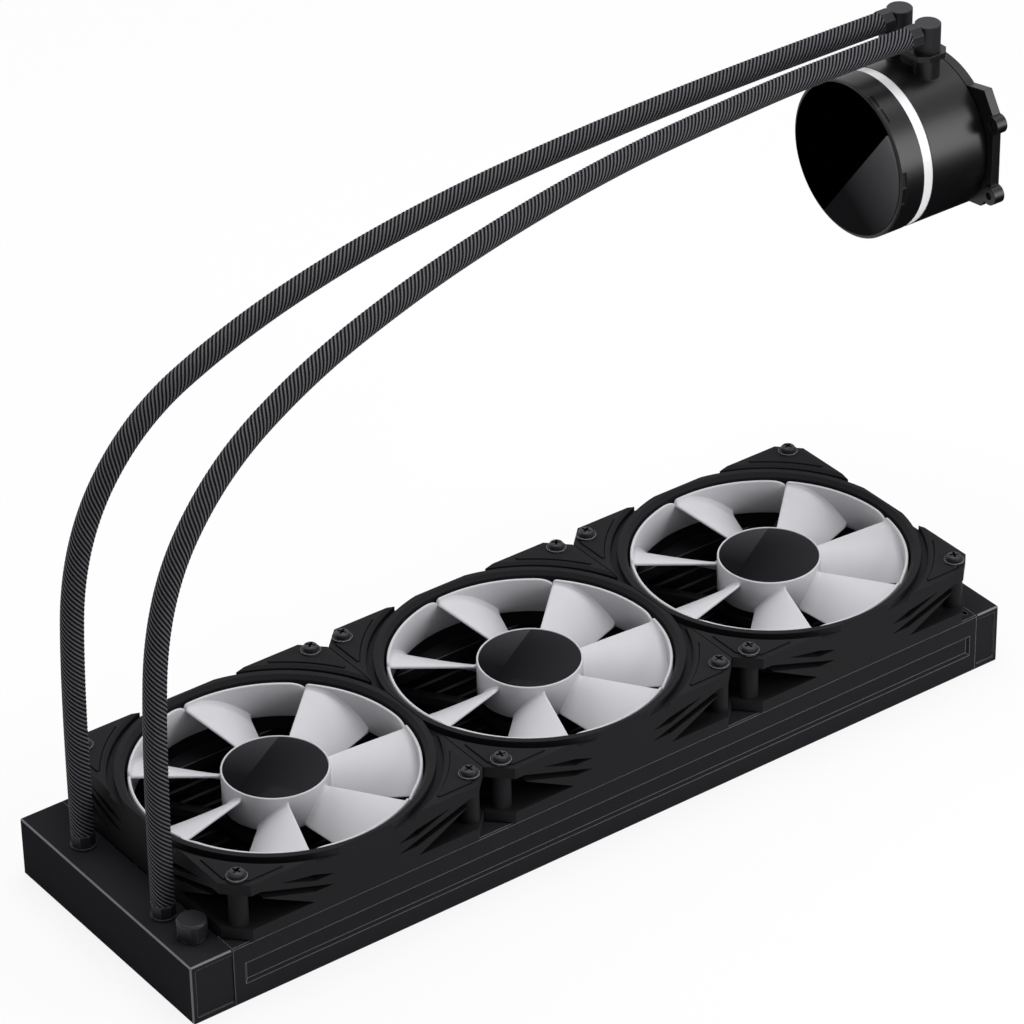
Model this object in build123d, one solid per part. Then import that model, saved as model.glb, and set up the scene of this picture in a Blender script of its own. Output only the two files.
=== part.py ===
from build123d import *
from math import cos, pi, radians, sin, tan
import os

# All in one CPU liquid cooler: a radiator for three 120 mm fans, two sleeved hoses and a round pump head.
# Millimetres, +Z up. The origin is the centre of the middle fan's hole pattern, on the radiator's underside.
# X runs from the port tank to the return tank and +Y to the far side. The pump head hangs from the hoses
# with its axis along X.

# Fit clearances
FIT = 0.05
SEAT = 0.1
SPIN = 0.03

# How far a cut runs past the piece
PAST = 1.0

# Fan row
FAN_COUNT = 3
FAN_W = 119.6
FAN_GAP = 0.4
FAN_T = 25.0
HOLE_INSET = 7.3
FAN_CORNER = 8.5
FAN_TOP_FLANGE = 4.7
FAN_LOW_FLANGE = 5.0
COLUMN_R = 3.75
COLUMN_BORE_R = 2.2
DUCT_INSET = 0.9
DUCT_WALL = 1.9
BORE_EDGE = 1.6
ARM_COUNT = 4
ARM_W = 4.0
ARM_T = 3.6
ARM_START = -45.0
ARM_LEAN = -10.0
LEAD_ARM_W = 7.0
BASE_INSET = 0.4

# Openings in the frame's side walls: X from the fan's middle, tips from its side, heights above the
# frame's underside
PANEL_HALF = 14.5
KNEE_X = 23.0
SPEAR_TIP = 21.3
SPEAR_START_Z = 14.2
SPEAR_KNEE_Z = 17.3
SPEAR_LOW_Z = 14.3
CORNER_TIP = 12.8
CORNER_START_Z = 9.4
CORNER_KNEE_Z = 12.2
CORNER_LOW_Z = 9.5
FOOT_X = 23.5
FOOT_TIP = 13.3
FOOT_TIP_Z = 17.2

# Corner pads
PAD_MARGIN = 2.8
PAD_LENGTH = 21.5
PAD_POCKET = 1.2
PAD_PROUD = 0.5
PAD_GAP = 0.3
PAD_REACH = 7.85

# Top of the fan frame: a raised rim round the bore, a channel round it, the sloped edge of each corner
RIM_W = 4.0
CHANNEL_W = 2.8
CHANNEL_DEPTH = 3.0
CORNER_SLOPE_W = 1.4
CORNER_SLOPE_H = 1.0

# Fan bearing, stator and circuit board
TUBE_R = 5.4
BEARING_R = 4.0
FAN_SHAFT_R = 1.5
TUBE_FLOOR = 1.6
TUBE_STEP = 3.0
TUBE_SUNK = 5.6
BOARD_MARGIN = 4.0
BOARD_T = 1.4
AIR_GAP = 0.85
STATOR_SUNK = 1.3
POLE_COUNT = 4
POLE_GAP_R = 3.2
POLE_GAP_INSET = 3.0

# Fan rotor: its tops are below the frame's top; a blade's root is at the hub and its tip at the ring
BLADE_COUNT = 7
BLADE_START = -7.5
BLADE_T = 1.5
BLADE_STEP_COUNT = 5
BLADE_MARGIN = 0.2
ROOT_SUNK = 2.8
ROOT_TURN = 32.0
ROOT_CAMBER = 0.55
TIP_SUNK = 1.8
TIP_TURN = 28.0
TIP_CAMBER = 1.0
HUB_R = 20.9
HUB_WALL = 1.3
HUB_SUNK = 2.6
HUB_SKIRT = 15.0
HUB_PLATE = 1.6
DISC_RECESS = 0.8
DISC_LIP = 0.7
BOSS_R = 3.2
BOSS_H = 2.4
TIP_GAP = 1.1
RING_WALL = 1.2
RING_SUNK = 2.1
RING_H = 14.0
NOTCH_DEPTH = 2.4
LONG_SHOULDER = 6.5
SHORT_SHOULDER = 1.6
YOKE_WALL = 2.6
YOKE_H = 11.4

# Radiator
RAD_T = 26.0
PORT_TANK_L = 18.8
RETURN_TANK_L = 11.8
TOP_BEVEL = 0.6
PANEL_DEPTH = 0.6
PANEL_EDGE = 2.2
RAIL_OUT = 6.6
RAIL_IN = 3.5
RAIL_SKIN = 2.4
RAIL_FLANGE = 1.6
RAIL_INNER = 1.0
RECESS_DEPTH = 1.2
RECESS_LOW = 8.0
RECESS_TOP = 8.6
RECESS_START = 5.0
RECESS_END = 3.2
TUBE_COUNT = 12
COOLANT_TUBE_T = 1.6
TUBE_MARGIN = 4.0
TUBE_ENTRY = 2.0
FIN_SHEET = 0.5
FIN_WAVE_COUNT = 15
FIN_MARGIN = 0.5
TAP_R = 1.25
WIRE_SLOT = (4.0, 1.8)
WIRE_SLOT_FROM_END = 2.7

# Ports on the port tank
PORT_X = 10.3
HOSE_BACK_Y = 29.7
HOSE_FRONT_Y = -25.8
PLUG_X = 11.3
PLUG_INSET = 15.6
PLUG_R = 5.8
PLUG_H = 8.5
PLUG_THREAD_R = 4.0
PLUG_THREAD_L = 7.0
PLUG_SEAL_T = 0.8
PLUG_FLAT = 0.9
PLUG_FLAT_COUNT = 4
PLUG_TURN = 20.0

# Hoses and their fittings
HOSE_D = 9.1
ARC_SHARE = 0.45
STUB_R = 2.6
STUB_DEPTH = 8.0
FERRULE_R = 4.9
FERRULE_SIDE_COUNT = 8
TANK_FERRULE_H = 5.6
BASE_RING_R = 5.1
BASE_RING_H = 1.0

# Pump head: place of the front face's centre, then sizes along its axis from that face
PUMP_X = 187.2
PUMP_Y = 37.0
PUMP_Z = 191.0
PUMP_R = 33.5
PUMP_L = 45.0
FACE_RIM = 1.6
FACE_T = 2.2
CAP_END = 12.4
CAP_LIP = 0.8
CAP_SHELF = 1.0
RIM_BEVEL = 0.5
SMALL_BEVEL = 0.4
LIGHT_W = 4.6
LIGHT_SUNK = 0.25
SPIGOT_STEP = 3.0
SPIGOT_START = 3.0
SPIGOT_WALL = 2.5
BAY_STEP = 1.0
WEB_FROM_REAR = 10.5
BOARD_INSET = 1.0
LIGHT_BOARD_T = 1.6
LIGHT_BOARD_HOLE = 12.0
WINDOW_COUNT = 8
WINDOW_W = 8.0
WINDOW_RIM = 1.0
NOTCH_GROUP_COUNT = 6
NOTCH_SIZE = (6.5, 1.2, 2.0)
NOTCH_AT = 2.4
NOTCH_STEP = 13.0
CAN_R = 9.0
CAN_WALL = 1.2
CAN_START = 20.0
CHAMBER_L = 8.0
VOLUTE_LEDGE = 2.0
VOLUTE_T = 1.2
VOLUTE_INSET = 2.0
VOLUTE_HOLE_COUNT = 3
VOLUTE_HOLE_R = 2.2
VOLUTE_HOLE_AT = 6.0
PUMP_SHAFT_R = 1.25
ROTOR_GAP = 0.5
IMPELLER_INSET = 3.0
IMPELLER_DISC = 1.2
VANE_COUNT = 6
VANE_T = 1.2
VANE_H = 3.2
VANE_BOW_R = 10.5
COIL_INSET = 8.0
COIL_START = 23.0
COIL_POLE_COUNT = 6
COIL_GAP_R = 2.6
COIL_GAP_INSET = 5.0

# Base flange, cold plate and gasket
FLANGE_T = 4.0
FLANGE_RIM = 4.7
EAR_OUT = 3.0
EAR_Z = 15.8
EAR_R = 4.0
EAR_HOLE_R = 1.6
EAR_STAND = 1.0
WING_START = 53.4
WING_END = -45.5
WING_TOP = (3.0, 4.7)
WING_OUT = 0.3
WING_SIDE = (2.7, 0.8)
WING_LOW = (2.5, 7.2)
GASKET_LAND = 3.4
GASKET_W = 4.9
GASKET_T = 0.8
PLATE_GAP = 0.4
PLATE_PROUD = 1.0
MICRO_FIN_COUNT = 12
MICRO_FIELD = 22.0
MICRO_H = 1.4
PLATE_SCREW_COUNT = 8
PLATE_SCREW_INSET = 1.8
FLANGE_SCREW_COUNT = 4

# Saddle and swivel elbows: heights above the housing, the saddle or one another, the rest from the rear
ELBOW_HALF = 8.65
ELBOW_BACK = 11.5
ELBOW_R = 5.3
ELBOW_H = 11.7
HOSE_H = 7.7
HOSE_STOP = 22.5
FERRULE_STOP = 17.0
SADDLE_RISE = 8.8
SADDLE_T = 2.5
SADDLE_FRONT = 19.3
SADDLE_REAR = 4.5
SADDLE_HALF = 15.5
SADDLE_CORNER = 3.5
PEDESTAL_R = 5.3
PEDESTAL_WEB = 6.0
ELBOW_SPIGOT_R = 3.4
ELBOW_SPIGOT_L = 7.0
SEAL_W = 0.9
SEAL_H = 1.6

# Fasteners
SCREW_R = 1.5
SCREW_LONG = 30.5
HEAD_R = 2.9
HEAD_H = 2.1
CROSS = (3.6, 0.8, 1.2)
WASHER_R = 4.1
WASHER_T = 0.9
SMALL_SCREW_R = 1.0
SMALL_SCREW_L = 6.0
SMALL_HEAD_R = 1.7
SMALL_HEAD_H = 1.2

# Worked out from the above
FAN_PITCH = FAN_W + FAN_GAP
HOLE = FAN_W / 2 - HOLE_INSET
DUCT_R = FAN_W / 2 - DUCT_INSET
BORE_R = DUCT_R - DUCT_WALL
RING_R = BORE_R - TIP_GAP
PAD_INNER_R = HOLE * 2**0.5 - PAD_REACH
BASE_R = HUB_R - BASE_INSET
BOARD_R = BASE_R - BOARD_MARGIN
YOKE_R = HUB_R - HUB_WALL - FIT
STATOR_R = YOKE_R - YOKE_WALL - AIR_GAP
POLE_GAP_AT = STATOR_R - POLE_GAP_INSET
CHANNEL_IN = BORE_R + RIM_W
CHANNEL_OUT = CHANNEL_IN + CHANNEL_W
RING_TOP = FAN_T - RING_SUNK
HUB_TOP = FAN_T - HUB_SUNK
ROOT_LEAD = HUB_TOP - ROOT_SUNK
ROOT_TRAIL = HUB_TOP - HUB_SKIRT + BLADE_MARGIN + BLADE_T
TIP_LEAD = RING_TOP - TIP_SUNK
TIP_TRAIL = RING_TOP - RING_H + BLADE_MARGIN + BLADE_T
TUBE_TOP = HUB_TOP - TUBE_SUNK
STATOR_TOP = TUBE_TOP - STATOR_SUNK
RAIL_W = RAIL_OUT + RAIL_IN
RAD_W = 2 * (HOLE + RAIL_OUT)
RECESS_HIGH = RAD_T - RECESS_TOP
COOLANT_TUBE_H = RAD_T - 2 * TUBE_MARGIN
FIN_H = COOLANT_TUBE_H - 2 * FIN_MARGIN
THREAD_R = SCREW_R + FIT
CORE_L = FAN_COUNT * FAN_PITCH
CORE_X0 = -CORE_L / 2
CORE_X1 = CORE_L / 2
RAD_X0 = CORE_X0 - PORT_TANK_L
RAD_X1 = CORE_X1 + RETURN_TANK_L
CORE_HALF = HOLE - RAIL_IN
STRIP_W = (2 * CORE_HALF - TUBE_COUNT * COOLANT_TUBE_T) / (TUBE_COUNT + 1)
CORE_MID_Z = RAD_T / 2
FAN_Z = RAD_T + PAD_PROUD
PAD_TOP = FAN_Z + FAN_T + PAD_PROUD
FAN_X = [CORE_X0 + FAN_PITCH * (i + 0.5) for i in range(FAN_COUNT)]
FERRULE_TOP = RAD_T + BASE_RING_H + TANK_FERRULE_H
PORT_LINE_X = RAD_X0 + PORT_X
PLUG_LINE_X = RAD_X0 + PLUG_X
PLUG_Y = PLUG_INSET - RAD_W / 2
FACE_R = PUMP_R - FACE_RIM
SPIGOT_R = PUMP_R - SPIGOT_STEP
BAY_R = SPIGOT_R - SPIGOT_WALL
LIGHT_END = CAP_END + LIGHT_W
BOARD_SEAT = LIGHT_END - BOARD_INSET
BAY_END = PUMP_L - WEB_FROM_REAR
CHAMBER_START = PUMP_L - CHAMBER_L
VOLUTE_SEAT = PUMP_L - VOLUTE_INSET
FLANGE_OPENING_R = PUMP_R - FLANGE_RIM
PLATE_R = FLANGE_OPENING_R - PLATE_GAP
GASKET_R = PLATE_R - GASKET_LAND
VOLUTE_R = GASKET_R - GASKET_W - SEAT
CHAMBER_R = VOLUTE_R - VOLUTE_LEDGE
IMPELLER_R = CHAMBER_R - IMPELLER_INSET
COIL_R = BAY_R - COIL_INSET
COIL_GAP_AT = COIL_R - COIL_GAP_INSET
PLATE_SCREW_RING = PLATE_R - PLATE_SCREW_INSET
FLANGE_SCREW_RING = (PUMP_R + FLANGE_OPENING_R) / 2
EAR_Y = PUMP_R + EAR_OUT
SADDLE_TOP = PUMP_R + SADDLE_RISE
ELBOW_TOP = SADDLE_TOP + ELBOW_H
HOSE_RISE = SADDLE_TOP + HOSE_H
PUMP_REAR_X = PUMP_X + PUMP_L
HOSE_END_X = PUMP_REAR_X - HOSE_STOP
HOSE_END_Z = PUMP_Z + HOSE_RISE
ELBOW_X = PUMP_REAR_X - ELBOW_BACK
ELBOW_BACK_Y = PUMP_Y + ELBOW_HALF
ELBOW_FRONT_Y = PUMP_Y - ELBOW_HALF

# The hoses' routes, as points chosen by hand between the tank ferrule and the pump ferrule
BACK_ROUTE = [
    (PORT_LINE_X, HOSE_BACK_Y, FERRULE_TOP),
    (-188.5, 29.7, 94),
    (-182.5, 32, 156),
    (-153.5, 33, 198),
    (-107.5, 35, 218),
    (-54.5, 38, 230),
    (-0.5, 40, 237),
    (52.5, 42, 240),
    (104.5, 44, 241),
    (157.5, 45.65, 241),
    (HOSE_END_X, ELBOW_BACK_Y, HOSE_END_Z),
]
FRONT_ROUTE = [
    (PORT_LINE_X, HOSE_FRONT_Y, FERRULE_TOP),
    (-188.5, -25.8, 95),
    (-179.5, -20, 158),
    (-148.5, -14, 197),
    (-103.5, -7, 219),
    (-49.5, 1, 232),
    (4.5, 9, 239),
    (59.5, 17, 242),
    (112.5, 23, 242),
    (162.5, 28.35, 241),
    (HOSE_END_X, ELBOW_FRONT_Y, HOSE_END_Z),
]


def ring(outer, inner, low, high):
    """An upright ring between two heights; an inner radius of 0 makes a disc."""
    body = Pos(0, 0, low) * Cylinder(outer, high - low, align=(Align.CENTER, Align.CENTER, Align.MIN))
    if inner > 0:
        body -= Pos(0, 0, low) * Cylinder(inner, high - low, align=(Align.CENTER, Align.CENTER, Align.MIN))
    return body


def slab(x0, x1, y0, y1, z0, z1):
    """A block given by its faces."""
    return Pos((x0 + x1) / 2, (y0 + y1) / 2, (z0 + z1) / 2) * Box(x1 - x0, y1 - y0, z1 - z0)


def turned(points):
    """A turned body from a closed outline of radius and height."""
    return revolve(Plane.XZ * make_face(Polyline(*points, close=True)), Axis.Z)


def at_corners(shape):
    """The shape at the four hole places of one fan."""
    return [Pos(x, y, 0) * shape for x in (-HOLE, HOLE) for y in (-HOLE, HOLE)]


def around(shape, count, start=0.0):
    """Copies of the shape spaced evenly about Z."""
    return [Rot(0, 0, start + 360 * k / count) * shape for k in range(count)]


def in_pump(shape):
    """Puts a shape drawn along +Z from the face disc onto the pump's axis; its Y becomes up."""
    return Plane((PUMP_X, PUMP_Y, PUMP_Z), x_dir=(0, 1, 0), z_dir=(1, 0, 0)).location * shape


# Radiator


def tank(x0, x1, outer_sign):
    """An end tank: bevelled block with a pressed panel on both long sides and slots for the tubes."""
    half = RAD_W / 2
    body = slab(x0, x1, -half, half, 0, RAD_T)
    end_face = body.faces().sort_by(Axis.X)[-1 if outer_sign > 0 else 0]
    outer = end_face.edges() + body.faces().sort_by(Axis.Z)[-1].edges().filter_by(Axis.X)
    body = chamfer(outer, TOP_BEVEL)
    panel_x0 = x0 + (PANEL_EDGE if outer_sign < 0 else 0)
    panel_x1 = x1 - (PANEL_EDGE if outer_sign > 0 else 0)
    panel = Plane.XZ * Pos((panel_x0 + panel_x1) / 2, RAD_T / 2) * RectangleRounded(
        panel_x1 - panel_x0, RAD_T - 2 * PANEL_EDGE, PANEL_DEPTH
    )
    for side in (-1, 1):
        body -= Pos(0, side * half, 0) * extrude(panel, PANEL_DEPTH, both=True)
    inner = x0 if outer_sign > 0 else x1
    for y in tube_rows():
        body -= tube_bar(inner - TUBE_ENTRY, inner + TUBE_ENTRY, y, SEAT)
    return body


def tube_rows():
    """Y of each coolant tube."""
    first = -CORE_HALF + STRIP_W + COOLANT_TUBE_T / 2
    return [first + k * (STRIP_W + COOLANT_TUBE_T) for k in range(TUBE_COUNT)]


def tube_bar(x0, x1, y, grow=0.0):
    """One flat tube, or its slot when grown."""
    t = COOLANT_TUBE_T / 2 + grow / 2
    h = COOLANT_TUBE_H / 2 + grow
    return slab(x0, x1, y - t, y + t, CORE_MID_Z - h, CORE_MID_Z + h)


def port_tank():
    body = tank(RAD_X0, CORE_X0, -1)
    for y in (HOSE_BACK_Y, HOSE_FRONT_Y):
        body -= Pos(PORT_LINE_X, y, 0) * ring(STUB_R + FIT, 0, RAD_T - STUB_DEPTH, RAD_T)
    thread = ring(PLUG_THREAD_R + FIT, 0, RAD_T - PLUG_THREAD_L - SEAT, RAD_T)
    return body - Pos(PLUG_LINE_X, PLUG_Y, 0) * thread


def return_tank():
    return tank(CORE_X1, RAD_X1, 1)


def side_rail(side):
    """A closed rail with a bevelled recess pressed in its outer face and screw holes above and below."""
    half = RAD_W / 2
    outline = Polyline(
        (half, 0),
        (half, RAD_T - TOP_BEVEL),
        (half - TOP_BEVEL, RAD_T),
        (half - RAIL_W, RAD_T),
        (half - RAIL_W, 0),
        close=True,
    )
    inner = Pos(half - RAIL_W + RAIL_INNER, RAIL_FLANGE) * Rectangle(
        RAIL_W - RAIL_INNER - RAIL_SKIN, RAD_T - 2 * RAIL_FLANGE, align=(Align.MIN, Align.MIN)
    )
    section = make_face(outline) - inner
    rail = Pos(CORE_X0, 0, 0) * extrude(Plane.YZ * section, CORE_L)
    x0, x1 = CORE_X0 + RECESS_START, CORE_X1 - RECESS_END
    mouth = Plane.XZ * Pos((x0 + x1) / 2, (RECESS_LOW + RECESS_HIGH) / 2) * Rectangle(
        x1 - x0, RECESS_HIGH - RECESS_LOW
    )
    rail -= Pos(0, half, 0) * extrude(mouth, RECESS_DEPTH, taper=45)
    for x in FAN_X:
        for hole_x in (x - HOLE, x + HOLE):
            rail -= Pos(hole_x, HOLE, 0) * ring(THREAD_R, 0, RAIL_FLANGE, RAD_T)
            rail -= Pos(hole_x, HOLE, 0) * ring(TAP_R, 0, 0, RAIL_FLANGE)
    slot = Pos(CORE_X1 - WIRE_SLOT_FROM_END, half - RAIL_W / 2, 0) * SlotOverall(*WIRE_SLOT, rotation=90)
    rail -= Pos(0, 0, RAD_T - RAIL_FLANGE) * extrude(slot, RAIL_FLANGE)
    return rail if side > 0 else mirror(rail, Plane.XZ)


def coolant_tubes():
    return [tube_bar(CORE_X0 - TUBE_ENTRY, CORE_X1 + TUBE_ENTRY, y) for y in tube_rows()]


def cooling_fins():
    """Folded strips between the tubes, each crest touching the tube beside it."""
    length = CORE_L - 2 * FIN_SHEET
    step = length / (2 * FIN_WAVE_COUNT)
    high, low = STRIP_W / 2, FIN_SHEET - STRIP_W / 2
    top = [(k * step, high if k % 2 else low) for k in range(2 * FIN_WAVE_COUNT + 1)]
    low = [(x, y - FIN_SHEET) for x, y in reversed(top)]
    strip = extrude(make_face(Polyline(*top, *low, close=True)), FIN_H)
    first = -CORE_HALF + STRIP_W / 2
    pitch = STRIP_W + COOLANT_TUBE_T
    z = CORE_MID_Z - FIN_H / 2
    return [Pos(CORE_X0 + FIN_SHEET, first + k * pitch, z) * strip for k in range(TUBE_COUNT + 1)]


def fill_plug():
    """Screw plug with a round cap that has four spanner flats."""
    seat = RAD_T + PLUG_SEAL_T
    top = seat + PLUG_H - PLUG_SEAL_T
    cap = ring(PLUG_R, 0, seat, top)
    cap = chamfer(cap.faces().sort_by(Axis.Z)[-1].edges(), TOP_BEVEL)
    flat = PLUG_R - PLUG_FLAT
    side = slab(flat, 2 * PLUG_R, -PLUG_R, PLUG_R, seat, top - 2 * TOP_BEVEL)
    for cut in around(side, PLUG_FLAT_COUNT, PLUG_TURN):
        cap -= cut
    plug = cap + ring(PLUG_THREAD_R, 0, RAD_T - PLUG_THREAD_L, seat)
    return Pos(PLUG_LINE_X, PLUG_Y, 0) * plug


def fill_plug_seal():
    seal = ring(PLUG_R - PLUG_FLAT, PLUG_THREAD_R + FIT, RAD_T, RAD_T + PLUG_SEAL_T)
    return Pos(PLUG_LINE_X, PLUG_Y, 0) * seal


def tank_stubs():
    """The two hose stubs fixed in the port tank, up to the hose ends."""
    stub = ring(STUB_R, 0, RAD_T - STUB_DEPTH, FERRULE_TOP)
    return [Pos(PORT_LINE_X, y, 0) * stub for y in (HOSE_BACK_Y, HOSE_FRONT_Y)]


def ferrule(length):
    """A crimped collar with flats, standing on Z = 0."""
    blank = extrude(RegularPolygon(FERRULE_R, FERRULE_SIDE_COUNT), length)
    blank = chamfer(blank.faces().sort_by(Axis.Z)[-1].edges(), SMALL_BEVEL)
    return blank - ring(STUB_R + FIT, 0, 0, length)


def tank_ferrules():
    collar = Pos(0, 0, BASE_RING_H) * ferrule(TANK_FERRULE_H)
    collar += ring(BASE_RING_R, STUB_R + FIT, 0, BASE_RING_H)
    return [Pos(PORT_LINE_X, y, RAD_T) * collar for y in (HOSE_BACK_Y, HOSE_FRONT_Y)]


# Hoses


def corner_radii(points):
    """Radius of the arc at each corner: as large as the two runs beside it allow."""
    radii = []
    for before, corner, after in zip(points, points[1:], points[2:]):
        run_in = Vector(*corner) - Vector(*before)
        run_out = Vector(*after) - Vector(*corner)
        half_turn = radians(run_in.get_angle(run_out)) / 2
        radii.append(ARC_SHARE * min(run_in.length, run_out.length) / tan(half_turn))
    return radii


def hose(name, points):
    radii = corner_radii(points)
    path = FilletPolyline(*points, radius=radii)
    start = Plane(points[0], z_dir=(0, 0, 1))
    tube = sweep(start * Circle(HOSE_D / 2), path=path)
    print(name, "length", round(path.length, 1), "radii", [round(r) for r in radii])
    print(name, "volume", round(tube.volume), "section x length", round(pi * HOSE_D**2 / 4 * path.length))
    return tube


# Fan frame


def side_cuts():
    """What opens one end of one side wall: a spear slot, a second that runs into the corner, the corner."""
    top = FAN_T - FAN_TOP_FLANGE
    low = FAN_LOW_FLANGE
    out = FAN_W / 2 + PAST
    spear = Polyline(
        (PANEL_HALF, SPEAR_START_Z),
        (KNEE_X, SPEAR_KNEE_Z),
        (FAN_W / 2 - SPEAR_TIP, top),
        (KNEE_X, SPEAR_LOW_Z),
        close=True,
    )
    corner = Polyline(
        (PANEL_HALF, CORNER_START_Z),
        (KNEE_X, CORNER_KNEE_Z),
        (FAN_W / 2 - CORNER_TIP, top),
        (out, top),
        (out, low),
        (FOOT_X, low),
        (FAN_W / 2 - FOOT_TIP, FOOT_TIP_Z),
        (KNEE_X, CORNER_LOW_Z),
        close=True,
    )
    outline = Plane.XZ.offset(PANEL_HALF) * (make_face(spear) + make_face(corner))
    cut = extrude(outline, out - PANEL_HALF)
    wedge = extrude(make_face(Polyline((0, 0), (out, -out), (0, -out), close=True)), FAN_T)
    return (cut & wedge) - ring(DUCT_R, 0, 0, FAN_T)


def square_plate(low, high):
    """A square of the fan's width with cut corners, between two heights."""
    body = Pos(0, 0, low) * Box(FAN_W, FAN_W, high - low, align=(Align.CENTER, Align.CENTER, Align.MIN))
    return chamfer(body.edges().filter_by(Axis.Z), FAN_CORNER)


def pad_outline():
    """The rounded triangle of one corner pad, in the +X +Y corner."""
    edge = FAN_W / 2 - PAD_MARGIN
    cut = FAN_CORNER - PAD_MARGIN * (2 - 2**0.5)
    inner = edge - PAD_LENGTH
    corner = Polyline(
        (inner, inner), (edge, inner), (edge, edge - cut), (edge - cut, edge), (inner, edge), close=True
    )
    return make_face(corner) - Circle(PAD_INNER_R)


def frame_base():
    """Motor base, bearing tube and arms at the underside of the frame."""
    base = ring(BASE_R, 0, 0, ARM_T) + ring(TUBE_R, 0, 0, TUBE_TOP)
    reach = (BORE_R + DUCT_R) / 2
    arm = slab(0, reach, -ARM_W / 2, ARM_W / 2, 0, ARM_T)
    lead_arm = slab(0, reach, -LEAD_ARM_W / 2, LEAD_ARM_W / 2, 0, ARM_T)
    for k, spoke in enumerate([lead_arm] + [arm] * (ARM_COUNT - 1)):
        turn = Rot(0, 0, ARM_START + 360 * k / ARM_COUNT)
        base += turn * Pos(0, BASE_R / 2, 0) * Rot(0, 0, ARM_LEAN) * spoke
    base -= ring(BEARING_R + FIT, 0, TUBE_STEP, TUBE_TOP)
    return base - ring(2 * FAN_SHAFT_R - FIT, 0, TUBE_FLOOR, TUBE_STEP)


def top_channel():
    """The deep channel round the raised rim, with the sloped edge of the corners outside it."""
    floor = FAN_T - CHANNEL_DEPTH
    slope = FAN_T - CORNER_SLOPE_H
    return turned(
        (
            (CHANNEL_IN, floor),
            (CHANNEL_OUT, floor),
            (CHANNEL_OUT, slope),
            (CHANNEL_OUT + CORNER_SLOPE_W, FAN_T),
            (CHANNEL_IN, FAN_T),
        )
    )


def fan_frame():
    body = square_plate(0, FAN_T)
    cut = side_cuts()
    pair = [cut, mirror(cut, Plane.YZ)]
    for k in range(4):
        for one in pair:
            body -= Rot(0, 0, 90 * k) * one
    for column in at_corners(ring(COLUMN_R, 0, 0, FAN_T)):
        body += column
    body -= ring(BORE_R, 0, 0, FAN_T)
    edge = FAN_T - BORE_EDGE
    body -= turned(((0, edge), (BORE_R, edge), (BORE_R + BORE_EDGE, FAN_T), (0, FAN_T)))
    body -= top_channel()
    pocket = offset(pad_outline(), PAD_GAP, kind=Kind.INTERSECTION)
    for z in (0, FAN_T - PAD_POCKET):
        for one in around(Pos(0, 0, z) * extrude(pocket, PAD_POCKET), 4):
            body -= one
    body += frame_base()
    for bore in at_corners(ring(COLUMN_BORE_R, 0, 0, FAN_T)):
        body -= bore
    return body


def fan_pads():
    """Eight pads: four on top and four under the frame, each with a hole for the screw."""
    pad = extrude(pad_outline(), PAD_POCKET + PAD_PROUD)
    pad -= Pos(HOLE, HOLE, 0) * ring(COLUMN_BORE_R, 0, 0, PAD_POCKET + PAD_PROUD)
    low = around(Pos(0, 0, -PAD_PROUD) * pad, 4)
    return low + around(Pos(0, 0, FAN_T - PAD_POCKET) * pad, 4)


def fan_bearing():
    return ring(BEARING_R, FAN_SHAFT_R + SPIN, TUBE_STEP, TUBE_TOP - SEAT)


def fan_circuit_board():
    return ring(BOARD_R, TUBE_R + SEAT, ARM_T, ARM_T + BOARD_T)


def fan_stator():
    """Four T-shaped poles round the bearing tube, wound, with the bobbin foot on the board."""
    low = ARM_T + BOARD_T
    core = ring(STATOR_R, TUBE_R + SEAT, low, STATOR_TOP)
    for gap in around(Pos(POLE_GAP_AT, 0, 0) * ring(POLE_GAP_R, 0, low, STATOR_TOP), POLE_COUNT, 45):
        core -= gap
    return core


# Fan rotor


def blade_curve(radius, lead, trail, turn, camber):
    """The blade's surface line on a cylinder: falls clockwise from the leading edge, ever steeper."""
    points = []
    for k in range(BLADE_STEP_COUNT + 1):
        share = k / BLADE_STEP_COUNT
        fall = (lead - trail) * ((1 - camber) * share + camber * share**2)
        angle = radians(-turn * share)
        points.append((radius * cos(angle), radius * sin(angle), lead - fall))
    return Spline(*points)


def blade():
    """One twisted blade from inside the hub's wall to inside the ring's wall."""
    root, tip = HUB_R - HUB_WALL / 2, RING_R - RING_WALL / 2
    edges = {}
    for drop in (0, BLADE_T):
        edges["root", drop] = blade_curve(root, ROOT_LEAD - drop, ROOT_TRAIL - drop, ROOT_TURN, ROOT_CAMBER)
        edges["tip", drop] = blade_curve(tip, TIP_LEAD - drop, TIP_TRAIL - drop, TIP_TURN, TIP_CAMBER)
    faces = [
        Face.make_surface_from_curves(edges["root", 0], edges["tip", 0]),
        Face.make_surface_from_curves(edges["root", BLADE_T], edges["tip", BLADE_T]),
        Face.make_surface_from_curves(edges["root", 0], edges["root", BLADE_T]),
        Face.make_surface_from_curves(edges["tip", 0], edges["tip", BLADE_T]),
    ]
    around_edge = (("root", 0), ("tip", 0), ("tip", BLADE_T), ("root", BLADE_T))
    for end in (0, 1):
        faces.append(make_face(Polyline(*[edges[key] @ end for key in around_edge], close=True)).face())
    return Solid(Shell(faces))


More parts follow.
